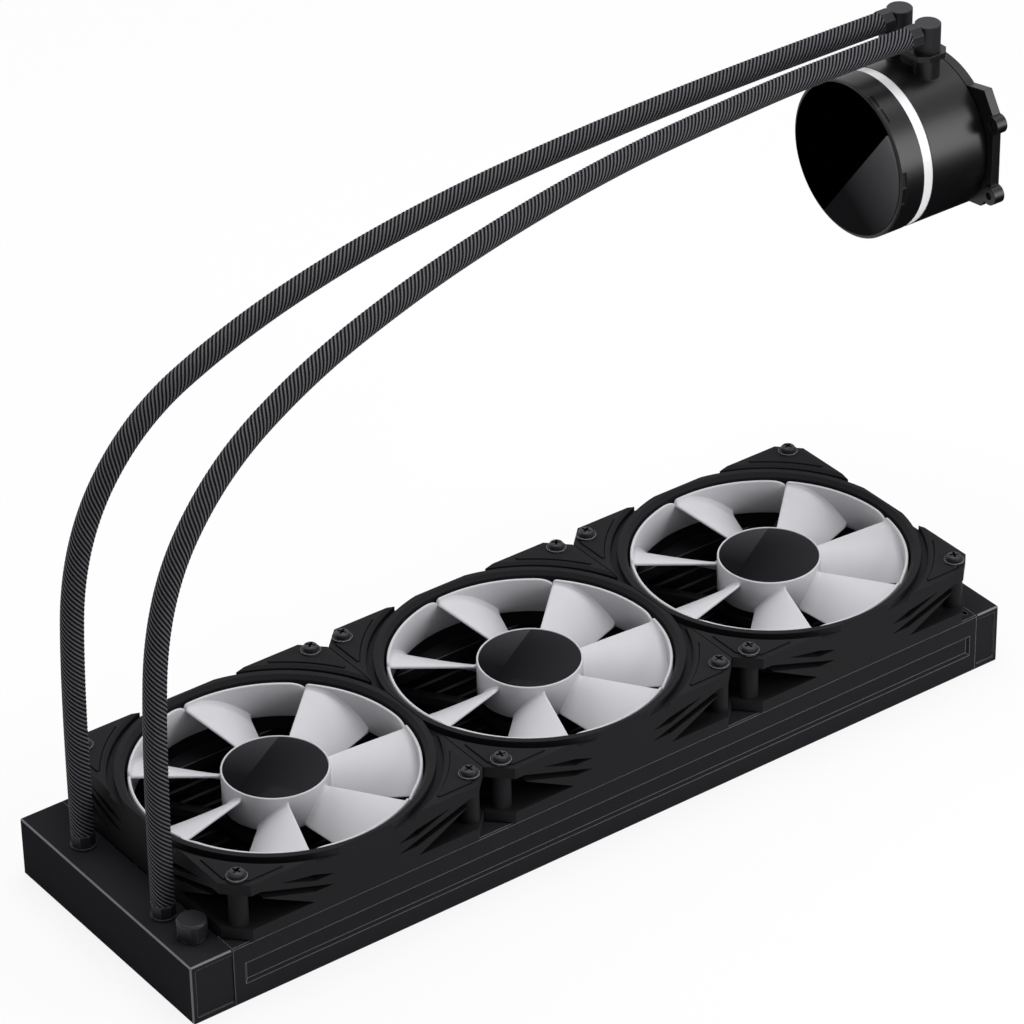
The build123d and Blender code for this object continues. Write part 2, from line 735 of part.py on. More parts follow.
def ring_notch():
    """A V between a long and a short rounded shoulder, cut through the ring's top at a leading edge."""
    lid = RING_TOP + NOTCH_DEPTH
    low = RING_TOP - NOTCH_DEPTH
    long_side = EllipticalCenterArc((LONG_SHOULDER, low), LONG_SHOULDER, NOTCH_DEPTH, 90, arc_size=90)
    short_side = EllipticalCenterArc((-SHORT_SHOULDER, low), SHORT_SHOULDER, NOTCH_DEPTH, 0, arc_size=90)
    rest = Polyline(
        (LONG_SHOULDER, RING_TOP), (LONG_SHOULDER, lid), (-SHORT_SHOULDER, lid), (-SHORT_SHOULDER, RING_TOP)
    )
    face = make_face(Plane.YZ * (long_side + short_side + rest))
    cut = Pos(RING_R - 2 * RING_WALL, 0, 0) * extrude(face, 4 * RING_WALL, dir=(1, 0, 0))
    return cut - ring(RING_R - RING_WALL, 0, low, lid)


def fan_rotor():
    """Hub cup, seven blades and the notched outer ring, moulded in one."""
    plate = HUB_TOP - DISC_RECESS
    hub_in = HUB_R - HUB_WALL
    skirt = HUB_TOP - HUB_SKIRT
    boss = plate - HUB_PLATE - BOSS_H
    rotor = turned(
        (
            (0, plate),
            (HUB_R - DISC_LIP, plate),
            (HUB_R - DISC_LIP, HUB_TOP),
            (HUB_R, HUB_TOP),
            (HUB_R, skirt),
            (hub_in, skirt),
            (hub_in, plate - HUB_PLATE),
            (BOSS_R, plate - HUB_PLATE),
            (BOSS_R, boss),
            (FAN_SHAFT_R + FIT / 2, boss),
            (FAN_SHAFT_R + FIT / 2, plate - HUB_PLATE),
            (0, plate - HUB_PLATE),
        )
    )
    rim = ring(RING_R, RING_R - RING_WALL, RING_TOP - RING_H, RING_TOP)
    for one in around(blade(), BLADE_COUNT, BLADE_START):
        rotor += one
    rotor += rim
    for one in around(ring_notch(), BLADE_COUNT, BLADE_START):
        rotor -= one
    return rotor


def fan_hub_disc():
    plate = HUB_TOP - DISC_RECESS
    return ring(HUB_R - DISC_LIP - SEAT, 0, plate, HUB_TOP - SEAT)


def fan_shaft():
    return ring(FAN_SHAFT_R, 0, TUBE_FLOOR + FIT, HUB_TOP - DISC_RECESS - HUB_PLATE)


def fan_magnet():
    high = HUB_TOP - DISC_RECESS - HUB_PLATE
    return ring(YOKE_R, YOKE_R - YOKE_WALL, high - YOKE_H, high)


# Pump head, drawn along +Z from the face disc and then laid on its axis


def face_disc():
    disc = ring(FACE_R, 0, 0, FACE_T)
    return chamfer(disc.faces().sort_by(Axis.Z)[0].edges(), TOP_BEVEL)


def cap_ring():
    """Front band of the pump with a seat for the face disc and small notches in pairs."""
    inner = SPIGOT_R + SEAT
    shelf = BAY_R + CAP_SHELF
    band = turned(
        (
            (FACE_R + SEAT, CAP_LIP),
            (PUMP_R - RIM_BEVEL, CAP_LIP),
            (PUMP_R, CAP_LIP + RIM_BEVEL),
            (PUMP_R, CAP_END),
            (inner, CAP_END),
            (inner, SPIGOT_START),
            (shelf, SPIGOT_START),
            (shelf, FACE_T),
            (FACE_R + SEAT, FACE_T),
        )
    )
    notch = Pos(0, PUMP_R, NOTCH_AT) * Box(*NOTCH_SIZE)
    pair = [Rot(0, 0, turn) * notch for turn in (-NOTCH_STEP / 2, NOTCH_STEP / 2)]
    for one in pair:
        for cut in around(one, NOTCH_GROUP_COUNT, 180 / NOTCH_GROUP_COUNT):
            band -= cut
    return band


def light_ring():
    return ring(PUMP_R - LIGHT_SUNK, SPIGOT_R + SEAT, CAP_END, LIGHT_END)


def elbow_bores(radius, low, high):
    """Upright bores under the two elbows, in the pump's own frame."""
    bore = Rot(-90, 0, 0) * ring(radius, 0, low, high)
    return [Pos(x, 0, PUMP_L - ELBOW_BACK) * bore for x in (-ELBOW_HALF, ELBOW_HALF)]


def pedestal():
    """Two round bosses with a web between them that carry the saddle plate, in the pump's own frame."""
    low, deck = (BAY_R + SPIGOT_R) / 2, SADDLE_TOP - SADDLE_T
    middle = PUMP_L - ELBOW_BACK
    body = slab(-ELBOW_HALF, ELBOW_HALF, low, deck, middle - PEDESTAL_WEB / 2, middle + PEDESTAL_WEB / 2)
    for boss in elbow_bores(PEDESTAL_R, low, deck):
        body += boss
    return body


def ring_of_bores(count, on_radius, radius, low, high):
    """Bores along the pump's axis on a bolt circle, the first half a step from Y."""
    return around(Pos(on_radius, 0, 0) * ring(radius, 0, low, high), count, 180 / count)


def pump_housing():
    """Front spigot and dry bay, the can round the magnet, and the wet chamber behind the web."""
    can_in = CAN_R - CAN_WALL
    body = turned(
        (
            (SPIGOT_R, SPIGOT_START),
            (SPIGOT_R, LIGHT_END),
            (PUMP_R, LIGHT_END),
            (PUMP_R, PUMP_L - RIM_BEVEL),
            (PUMP_R - RIM_BEVEL, PUMP_L),
            (VOLUTE_R + SEAT, PUMP_L),
            (VOLUTE_R + SEAT, VOLUTE_SEAT),
            (CHAMBER_R, VOLUTE_SEAT),
            (CHAMBER_R, CHAMBER_START),
            (can_in, CHAMBER_START),
            (can_in, CAN_START + CAN_WALL),
            (0, CAN_START + CAN_WALL),
            (0, CAN_START),
            (CAN_R, CAN_START),
            (CAN_R, BAY_END),
            (BAY_R - BAY_STEP, BAY_END),
            (BAY_R - BAY_STEP, BOARD_SEAT),
            (BAY_R, BOARD_SEAT),
            (BAY_R, SPIGOT_START),
        )
    )
    body += pedestal()
    window_h = LIGHT_END - CAP_END - 2 * WINDOW_RIM
    window = Box(2 * (PUMP_R - BAY_R + BAY_STEP), WINDOW_W, window_h)
    window = Pos(PUMP_R, 0, (CAP_END + LIGHT_END) / 2) * window
    for one in around(window, WINDOW_COUNT, 180 / WINDOW_COUNT):
        body -= one
    deck = SADDLE_TOP - SADDLE_T
    for one in elbow_bores(ELBOW_SPIGOT_R + SEAT, SADDLE_TOP - ELBOW_SPIGOT_L - SEAT, deck):
        body -= one
    for one in elbow_bores(ELBOW_SPIGOT_R + SEAT + SEAL_W, deck - SEAL_H, deck):
        body -= one
    depth = PUMP_L - SMALL_SCREW_L
    for one in ring_of_bores(PLATE_SCREW_COUNT, PLATE_SCREW_RING, SMALL_SCREW_R + FIT, depth, PUMP_L):
        body -= one
    for one in ring_of_bores(FLANGE_SCREW_COUNT, FLANGE_SCREW_RING, SMALL_SCREW_R + FIT, depth, PUMP_L):
        body -= one
    return body


def light_board():
    return ring(BAY_R - SEAT, LIGHT_BOARD_HOLE, BOARD_SEAT - LIGHT_BOARD_T, BOARD_SEAT)


def pump_stator():
    """Six wound poles round the can, seated on the web of the housing."""
    core = ring(COIL_R, CAN_R + SEAT, COIL_START, BAY_END)
    for gap in around(Pos(COIL_GAP_AT, 0, 0) * ring(COIL_GAP_R, 0, COIL_START, BAY_END), COIL_POLE_COUNT):
        core -= gap
    return core


def impeller():
    """Magnet rotor in the can with a disc and curved vanes in the wet chamber."""
    magnet_r = CAN_R - CAN_WALL - ROTOR_GAP
    disc_low = CHAMBER_START + ROTOR_GAP
    disc_high = disc_low + IMPELLER_DISC
    body = ring(magnet_r, 0, CAN_START + CAN_WALL + ROTOR_GAP, disc_low)
    body += ring(IMPELLER_R, 0, disc_low, disc_high)
    body += ring(2 * PUMP_SHAFT_R, 0, disc_high, disc_high + VANE_H)
    bow = Pos(0, VANE_BOW_R) * (Circle(VANE_BOW_R + VANE_T / 2) - Circle(VANE_BOW_R - VANE_T / 2))
    vane = bow & Pos(IMPELLER_R / 2, 0) * Rectangle(IMPELLER_R, IMPELLER_R) & Circle(IMPELLER_R - SEAT)
    solid_vane = Pos(0, 0, disc_high) * extrude(vane, VANE_H)
    for one in around(solid_vane, VANE_COUNT):
        body += one
    return body - ring(PUMP_SHAFT_R + FIT, 0, 0, PUMP_L)


def impeller_shaft():
    return ring(PUMP_SHAFT_R, 0, CAN_START + CAN_WALL, VOLUTE_SEAT)


def volute_plate():
    plate = ring(VOLUTE_R, 0, VOLUTE_SEAT, VOLUTE_SEAT + VOLUTE_T)
    hole = Pos(VOLUTE_HOLE_AT, 0, 0) * ring(VOLUTE_HOLE_R, 0, VOLUTE_SEAT, VOLUTE_SEAT + VOLUTE_T)
    for one in around(hole, VOLUTE_HOLE_COUNT):
        plate -= one
    return plate


def cold_plate_gasket():
    return ring(GASKET_R, VOLUTE_R + SEAT, PUMP_L, PUMP_L + GASKET_T)


def cold_plate():
    """Copper plate with micro fins on the wet side and a flat face towards the processor."""
    low = PUMP_L + GASKET_T
    high = PUMP_L + FLANGE_T + PLATE_PROUD
    plate = ring(PLATE_R, 0, low, high)
    plate = chamfer(plate.faces().sort_by(Axis.Z)[-1].edges(), SMALL_BEVEL)
    half, pitch = MICRO_FIELD / 2, MICRO_FIELD / MICRO_FIN_COUNT
    for k in range(MICRO_FIN_COUNT):
        x = pitch * (k - (MICRO_FIN_COUNT - 1) / 2)
        plate += slab(x - pitch / 4, x + pitch / 4, -half, half, low - MICRO_H, low)
    for one in ring_of_bores(PLATE_SCREW_COUNT, PLATE_SCREW_RING, SMALL_SCREW_R + FIT, low, high):
        plate -= one
    head_seat = high - SMALL_HEAD_H - SEAT
    for one in ring_of_bores(PLATE_SCREW_COUNT, PLATE_SCREW_RING, SMALL_HEAD_R + SEAT, head_seat, high):
        plate -= one
    return plate


def wing(side):
    """The facetted wing between the housing's circle and the two ears of one side."""
    corners = [
        (0, 0),
        (PUMP_R * cos(radians(WING_START)), PUMP_R * sin(radians(WING_START))),
        (PUMP_R - WING_TOP[0], PUMP_R - WING_TOP[1]),
        (EAR_Y + WING_OUT, EAR_Z + WING_SIDE[0]),
        (EAR_Y + WING_OUT, WING_SIDE[1] - EAR_Z),
        (PUMP_R - WING_LOW[0], -EAR_Z - WING_LOW[1]),
        (PUMP_R * cos(radians(WING_END)), PUMP_R * sin(radians(WING_END))),
    ]
    return make_face(Polyline(*[(side * y, z) for y, z in corners], close=True))


def base_flange():
    """Rear ring of the pump with a wing and two screw ears on each side."""
    low, high = PUMP_L, PUMP_L + FLANGE_T
    outline = Circle(PUMP_R)
    for side in (-1, 1):
        outline += wing(side)
    body = Pos(0, 0, low) * extrude(outline, FLANGE_T)
    ear = ring(EAR_R, 0, low - EAR_STAND, high)
    ears = [Pos(y, z, 0) * ear for y in (-EAR_Y, EAR_Y) for z in (-EAR_Z, EAR_Z)]
    for one in ears:
        body += one - ring(PUMP_R + SEAT, 0, low - EAR_STAND, low)
    for y in (-EAR_Y, EAR_Y):
        for z in (-EAR_Z, EAR_Z):
            body -= Pos(y, z, 0) * ring(EAR_HOLE_R, 0, low - EAR_STAND, high)
    body -= ring(FLANGE_OPENING_R, 0, low, high)
    for one in ring_of_bores(FLANGE_SCREW_COUNT, FLANGE_SCREW_RING, SMALL_SCREW_R + FIT, low, high):
        body -= one
    head_seat = high - SMALL_HEAD_H - SEAT
    for one in ring_of_bores(FLANGE_SCREW_COUNT, FLANGE_SCREW_RING, SMALL_HEAD_R + SEAT, head_seat, high):
        body -= one
    return body


def small_screw(seat):
    """A small screw whose head sits on the given height, its point towards the face disc."""
    head = ring(SMALL_HEAD_R, 0, seat, seat + SMALL_HEAD_H)
    return head + ring(SMALL_SCREW_R, 0, PUMP_L - SMALL_SCREW_L + SEAT, seat)


def pump_screws():
    plate_seat = PUMP_L + FLANGE_T + PLATE_PROUD - SMALL_HEAD_H - SEAT
    flange_seat = PUMP_L + FLANGE_T - SMALL_HEAD_H - SEAT
    on_plate = Pos(PLATE_SCREW_RING, 0, 0) * small_screw(plate_seat)
    on_flange = Pos(FLANGE_SCREW_RING, 0, 0) * small_screw(flange_seat)
    group = around(on_plate, PLATE_SCREW_COUNT, 180 / PLATE_SCREW_COUNT)
    return group + around(on_flange, FLANGE_SCREW_COUNT, 180 / FLANGE_SCREW_COUNT)


def saddle_plate():
    """Plate that locks both elbows, with cut corners."""
    front, rear = PUMP_L - SADDLE_FRONT, PUMP_L - SADDLE_REAR
    plate = slab(-SADDLE_HALF, SADDLE_HALF, SADDLE_TOP - SADDLE_T, SADDLE_TOP, front, rear)
    plate = chamfer(plate.edges().filter_by(Axis.Y), SADDLE_CORNER)
    for one in elbow_bores(ELBOW_SPIGOT_R + SEAT, SADDLE_TOP - SADDLE_T, SADDLE_TOP):
        plate -= one
    return plate


def elbow_seals():
    deck = SADDLE_TOP - SADDLE_T
    inner = elbow_bores(ELBOW_SPIGOT_R + FIT, deck - SEAL_H, deck)
    outer = elbow_bores(ELBOW_SPIGOT_R + SEAL_W, deck - SEAL_H, deck)
    return [whole - hole for whole, hole in zip(outer, inner)]


def elbow(y):
    """Upright round elbow with a stub towards the hose and a spigot in the pedestal, in place."""
    low = PUMP_Z + SADDLE_TOP
    column = ring(ELBOW_R, 0, low, PUMP_Z + ELBOW_TOP)
    column = chamfer(column.faces().sort_by(Axis.Z)[-1].edges(), SMALL_BEVEL)
    column += ring(ELBOW_SPIGOT_R, 0, low - ELBOW_SPIGOT_L, low)
    stub = Pos(0, 0, HOSE_END_Z) * Rot(0, -90, 0) * ring(STUB_R, 0, 0, ELBOW_X - HOSE_END_X)
    return Pos(ELBOW_X, y, 0) * (column + stub)


def pump_ferrules():
    length = HOSE_STOP - FERRULE_STOP
    collar = Rot(0, 90, 0) * Rot(0, 0, 180 / FERRULE_SIDE_COUNT) * ferrule(length)
    return [Pos(HOSE_END_X, y, HOSE_END_Z) * collar for y in (ELBOW_BACK_Y, ELBOW_FRONT_Y)]


# Fasteners


def fan_screw():
    """Pan-head screw with a cross recess; its head sits on Z = 0."""
    head = ring(HEAD_R, 0, 0, HEAD_H)
    head = fillet(head.faces().sort_by(Axis.Z)[-1].edges(), HEAD_H / 2)
    length, width, depth = CROSS
    for turn in (45, 135):
        head -= Rot(0, 0, turn) * Pos(0, 0, HEAD_H - depth / 2) * Box(length, width, depth)
    return head + ring(SCREW_R, 0, -SCREW_LONG, 0)


def fan_screws():
    screw = fan_screw()
    return [Pos(x, 0, PAD_TOP + WASHER_T) * one for x in FAN_X for one in at_corners(screw)]


def fan_washers():
    washer = ring(WASHER_R, SCREW_R + SEAT, 0, WASHER_T)
    return [Pos(x, 0, PAD_TOP) * one for x in FAN_X for one in at_corners(washer)]


def save(name, shape):
    """Writes one node; a list becomes a group of separate solids."""
    parts = shape if isinstance(shape, list) else [shape]
    solids = [solid for part in parts for solid in part.solids()]
    export_step(solids[0] if len(solids) == 1 else Compound(children=solids), "parts/" + name + ".step")


PUMP_NODES = {
    "face_disc": face_disc,
    "cap_ring": cap_ring,
    "light_ring": light_ring,
    "pump_housing": pump_housing,
    "light_board": light_board,
    "pump_stator": pump_stator,
    "impeller": impeller,
    "impeller_shaft": impeller_shaft,
    "volute_plate": volute_plate,
    "cold_plate_gasket": cold_plate_gasket,
    "cold_plate": cold_plate,
    "base_flange": base_flange,
    "pump_screws": pump_screws,
    "saddle_plate": saddle_plate,
    "elbow_seals": elbow_seals,
}

FAN_NODES = {
    "frame": fan_frame,
    "corner_pads": fan_pads,
    "rotor": fan_rotor,
    "hub_disc": fan_hub_disc,
    "shaft": fan_shaft,
    "magnet_ring": fan_magnet,
    "bearing": fan_bearing,
    "stator": fan_stator,
    "circuit_board": fan_circuit_board,
}

PLACED_NODES = {
    "port_tank": port_tank,
    "return_tank": return_tank,
    "coolant_tubes": coolant_tubes,
    "cooling_fins": cooling_fins,
    "fill_plug": fill_plug,
    "fill_plug_seal": fill_plug_seal,
    "tank_stubs": tank_stubs,
    "tank_ferrules": tank_ferrules,
    "pump_ferrules": pump_ferrules,
    "fan_screws": fan_screws,
    "fan_washers": fan_washers,
}


def main():
    os.makedirs("parts", exist_ok=True)
    for name, make in PLACED_NODES.items():
        save(name, make())
    save("side_rail_far", side_rail(1))
    save("side_rail_near", side_rail(-1))
    save("hose_back", hose("hose_back", BACK_ROUTE))
    save("hose_front", hose("hose_front", FRONT_ROUTE))
    save("elbow_back", elbow(ELBOW_BACK_Y))
    save("elbow_front", elbow(ELBOW_FRONT_Y))
    for name, make in PUMP_NODES.items():
        made = make()
        save(name, [in_pump(one) for one in (made if isinstance(made, list) else [made])])
    for name, make in FAN_NODES.items():
        made = make()
        group = made if isinstance(made, list) else [made]
        for number, x in enumerate(FAN_X, 1):
            save(f"fan_{number}_{name}", [Pos(x, 0, FAN_Z) * one for one in group])


main()
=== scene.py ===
from math import atan2, ceil, cos, degrees, pi, radians, sin, sqrt

import bmesh
import bpy
from bpy.props import FloatProperty, FloatVectorProperty, IntProperty, PointerProperty
from mathutils import Matrix, Vector


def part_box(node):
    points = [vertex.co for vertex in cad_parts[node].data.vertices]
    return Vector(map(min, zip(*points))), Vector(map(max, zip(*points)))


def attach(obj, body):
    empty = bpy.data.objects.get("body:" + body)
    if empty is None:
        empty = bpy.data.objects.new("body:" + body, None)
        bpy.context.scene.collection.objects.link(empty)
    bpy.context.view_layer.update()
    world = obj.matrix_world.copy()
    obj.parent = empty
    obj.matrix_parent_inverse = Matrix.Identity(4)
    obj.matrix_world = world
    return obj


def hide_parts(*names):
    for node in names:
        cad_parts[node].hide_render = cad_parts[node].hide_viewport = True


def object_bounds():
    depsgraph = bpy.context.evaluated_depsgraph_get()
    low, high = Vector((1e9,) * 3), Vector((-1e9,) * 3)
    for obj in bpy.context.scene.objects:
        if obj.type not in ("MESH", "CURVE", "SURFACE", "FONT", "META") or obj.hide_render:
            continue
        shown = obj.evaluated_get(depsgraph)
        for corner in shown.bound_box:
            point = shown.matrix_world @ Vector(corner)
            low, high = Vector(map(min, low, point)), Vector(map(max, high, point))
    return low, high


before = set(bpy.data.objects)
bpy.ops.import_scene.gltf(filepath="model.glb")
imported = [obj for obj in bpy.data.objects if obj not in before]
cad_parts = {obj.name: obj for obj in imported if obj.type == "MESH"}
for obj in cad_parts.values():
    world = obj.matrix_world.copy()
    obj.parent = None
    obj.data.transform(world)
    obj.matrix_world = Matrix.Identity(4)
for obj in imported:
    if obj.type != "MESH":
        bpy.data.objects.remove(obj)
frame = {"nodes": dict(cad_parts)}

bl_info = {
    "name": "Liquid cooler",
    "version": (1, 0, 0),
    "blender": (4, 5, 0),
    "location": "View3D > Sidebar > Cooler",
    "description": "Dresses the liquid cooler: sleeved hoses, fans, radiator core and pump head",
    "category": "Object",
}

CAD_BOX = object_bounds()
MM = 0.001
FANS = (1, 2, 3)
BLADES = 7
# Where the tanks meet the rails, and how far round it no edge gets a painted highlight, in mm
SEAM_X = 180
SEAM_W = 0.7
# How far the ground of a disc's painted reflection takes to change its tone, in mm
GROUND_FADE = 24
# Cosines where the rounded normal's lean, off the plain one or off the nearest axis, starts and is full, for
# the painted edge highlights
EDGE_LEAN = (0.998, 0.93)
CORNER_LEAN = (0.97, 0.86)
# Plain white's share of the floor that is seen directly, the rest being lit, and the horizon's strength
FLOOR_GLOW = 0.85
HORIZON = 0.88


def linear(code):
    """An sRGB hex colour as linear red, green, blue and alpha."""
    parts = [int(code[k : k + 2], 16) / 255 for k in (1, 3, 5)]
    return [c / 12.92 if c <= 0.04045 else ((c + 0.055) / 1.055) ** 2.4 for c in parts] + [1.0]


# Routes of the hoses from the tank ferrules to the pump ferrules, in metres
BACK_ROUTE = [
    (-0.1885, 0.0297, 0.0326),
    (-0.1885, 0.0297, 0.094),
    (-0.1825, 0.032, 0.156),
    (-0.1535, 0.033, 0.198),
    (-0.1075, 0.035, 0.218),
    (-0.0545, 0.038, 0.230),
    (-0.0005, 0.040, 0.237),
    (0.0525, 0.042, 0.240),
    (0.1045, 0.044, 0.241),
    (0.1575, 0.04565, 0.241),
    (0.2097, 0.04565, 0.241),
]
FRONT_ROUTE = [
    (-0.1885, -0.0258, 0.0326),
    (-0.1885, -0.0258, 0.095),
    (-0.1795, -0.020, 0.158),
    (-0.1485, -0.014, 0.197),
    (-0.1035, -0.007, 0.219),
    (-0.0495, 0.001, 0.232),
    (0.0045, 0.009, 0.239),
    (0.0595, 0.017, 0.242),
    (0.1125, 0.023, 0.242),
    (0.1625, 0.02835, 0.241),
    (0.2097, 0.02835, 0.241),
]


class CoolerSizes(bpy.types.PropertyGroup):
    """Sizes of the pieces that are modelled here."""

    hose_diameter: FloatProperty(
        name="Hose diameter", description="Over the ribs of the sleeve", default=9.1 * MM, unit="LENGTH"
    )
    rib_depth: FloatProperty(
        name="Rib depth", description="Depth of the grooves between the sleeve's ribs", default=0.3 * MM,
        unit="LENGTH",
    )
    rib_count: IntProperty(name="Ribs", description="Ribs that wind round the hose side by side", default=13)
    rib_lead: FloatProperty(
        name="Rib lead", description="Length of hose in which one rib winds once round", default=24.6 * MM,
        unit="LENGTH",
    )
    fin_pitch: FloatProperty(
        name="Fin pitch", description="From one crest of the folded fins to the next", default=1.5 * MM,
        unit="LENGTH",
    )
    fin_sheet: FloatProperty(
        name="Fin sheet", description="Thickness of the folded strip", default=0.12 * MM, unit="LENGTH"
    )
    tube_width: FloatProperty(
        name="Tube width", description="Thickness of the flat coolant tubes", default=1.6 * MM, unit="LENGTH"
    )
    strip_count: IntProperty(name="Fin strips", description="Folded strips between the tubes", default=13)
    blade_fillet: FloatProperty(
        name="Blade fillet", description="Radius where a blade runs into the ring; half of it at the hub",
        default=2.4 * MM, unit="LENGTH",
    )
    notch_depth: FloatProperty(
        name="Notch depth", description="Depth of the ring's notch at each leading edge", default=2.4 * MM,
        unit="LENGTH",
    )


class CoolerColours(bpy.types.PropertyGroup):
    """Base colours of the main finishes."""

    radiator: FloatVectorProperty(
        name="Radiator", description="Powder coat", subtype="COLOR", size=4, default=linear("#2a2a2d"),
        min=0, max=1,
    )
    sleeve: FloatVectorProperty(
        name="Sleeve", description="Nylon of the hose sleeve", subtype="COLOR", size=4,
        default=linear("#5f5f63"), min=0, max=1,
    )
    frame: FloatVectorProperty(
        name="Fan frame", description="Moulded frames", subtype="COLOR", size=4, default=linear("#222224"),
        min=0, max=1,
    )
    rotor: FloatVectorProperty(
        name="Rotor", description="Milky rotors", subtype="COLOR", size=4, default=linear("#cdcdd1"),
        min=0, max=1,
    )
    housing: FloatVectorProperty(
        name="Housing", description="Pump head", subtype="COLOR", size=4, default=linear("#0d0d0f"),
        min=0, max=1,
    )
    fitting: FloatVectorProperty(
        name="Fittings", description="Ferrules and elbows", subtype="COLOR", size=4,
        default=linear("#242428"), min=0, max=1,
    )
    floor: FloatVectorProperty(
        name="Floor", description="Pale floor", subtype="COLOR", size=4, default=linear("#f2f2f2"),
        min=0, max=1,
    )


class CoolerView(bpy.types.PropertyGroup):
    """The photograph's camera and the studio's lamps."""

    place: FloatVectorProperty(
        name="Camera place", description="Where the camera stands", subtype="TRANSLATION", size=3,
        default=(-0.94113, -1.29090, 1.13216),
    )
    heading: FloatProperty(
        name="Heading", description="From +Y towards +X", subtype="ANGLE", default=radians(35.8852)
    )
    dip: FloatProperty(name="Dip", description="Below the horizon", subtype="ANGLE", default=radians(32.4517))
    roll: FloatProperty(
        name="Roll", description="Tilt of the frame", subtype="ANGLE", default=radians(-1.0959)
    )
    lens: FloatProperty(name="Lens", description="Focal length in mm on a 36 mm sensor", default=173.78)
    top_lamp: FloatProperty(name="Top lamp", description="Soft lamp overhead", default=33.0, unit="POWER")
    side_lamp: FloatProperty(
        name="Side lamp", description="Tall soft lamp at the near side", default=11.0, unit="POWER"
    )
    back_lamp: FloatProperty(
        name="Back lamp", description="Soft lamp behind the part", default=6.0, unit="POWER"
    )
    sky: FloatProperty(name="Sky", description="Even light from all round", default=0.2)


# Materials


def add_node(tree, kind, settings=None, links=None):
    """Adds one shader node with its options and socket values, and joins its inputs to other outputs."""
    node = tree.nodes.new(kind)
    for name, value in (settings or {}).items():
        if isinstance(name, int) or name in node.inputs:
            node.inputs[name].default_value = value
        else:
            setattr(node, name, value)
    for name, output in (links or {}).items():
        tree.links.new(output, node.inputs[name])
    return node


def empty_material(name):
    """A material whose node tree is empty, and that tree."""
    material = bpy.data.materials.new(name)
    material.use_nodes = True
    material.node_tree.nodes.clear()
    return material, material.node_tree


def mixed(tree, share, first, second):
    """A colour between two by a share; each of the two is a colour or the output of another node."""
    mix = add_node(tree, "ShaderNodeMixRGB", links={"Fac": share})
    for socket, tone in (("Color1", first), ("Color2", second)):
        if isinstance(tone, bpy.types.NodeSocket):
            tree.links.new(tone, mix.inputs[socket])
        else:
            mix.inputs[socket].default_value = tone
    return mix.outputs["Color"]


def ramp_along(tree, place, direction, start, end):
    """From 0 to 1 between two distances in mm along a direction of the piece's own axes."""
    distance = add_node(
        tree, "ShaderNodeVectorMath", {"operation": "DOT_PRODUCT", 1: [c / MM for c in direction]}, {0: place}
    )
    ramp = add_node(
        tree, "ShaderNodeMapRange", {"From Min": start, "From Max": end}, {"Value": distance.outputs["Value"]}
    )
    return ramp.outputs["Result"]


def edge_share(tree, rounded):
    """1 on rounded edges and 0 on flats, from how far the rounded normal leans off the plain one: the mask of
    the painted edge highlight.
    """
    plain = add_node(tree, "ShaderNodeNewGeometry")
    lean = add_node(
        tree, "ShaderNodeVectorMath", {"operation": "DOT_PRODUCT"}, {0: plain.outputs["Normal"], 1: rounded}
    )
    limits = dict(zip(("From Min", "From Max"), EDGE_LEAN))
    ramp = add_node(tree, "ShaderNodeMapRange", limits, {"Value": lean.outputs["Value"]})
    return ramp.outputs["Result"]


def corner_share(tree, place, rounded):
    """1 where the rounded normal leans off all three axes, save at the seams of tanks and rails: the mask of
    the painted corner highlight.
    """
    normal = add_node(tree, "ShaderNodeSeparateXYZ", links={0: rounded})
    sizes = []
    for axis in "XYZ":
        size = add_node(tree, "ShaderNodeMath", {"operation": "ABSOLUTE"}, {0: normal.outputs[axis]})
        sizes.append(size.outputs[0])
    wider = add_node(tree, "ShaderNodeMath", {"operation": "MAXIMUM"}, {0: sizes[0], 1: sizes[1]})
    widest = add_node(tree, "ShaderNodeMath", {"operation": "MAXIMUM"}, {0: wider.outputs[0], 1: sizes[2]})
    limits = dict(zip(("From Min", "From Max"), CORNER_LEAN))
    lean = add_node(tree, "ShaderNodeMapRange", limits, {"Value": widest.outputs[0]})
    along = add_node(tree, "ShaderNodeSeparateXYZ", links={0: place})
    reach = add_node(tree, "ShaderNodeMath", {"operation": "ABSOLUTE"}, {0: along.outputs["X"]})
    seam = add_node(
        tree,
        "ShaderNodeMath",
        {"operation": "COMPARE", 1: SEAM_X * MM, 2: SEAM_W * MM},
        {0: reach.outputs[0]},
    )
    clear = add_node(
        tree,
        "ShaderNodeMath",
        {"operation": "SUBTRACT", "use_clamp": True},
        {0: lean.outputs[0], 1: seam.outputs[0]},
    )
    return clear.outputs[0]


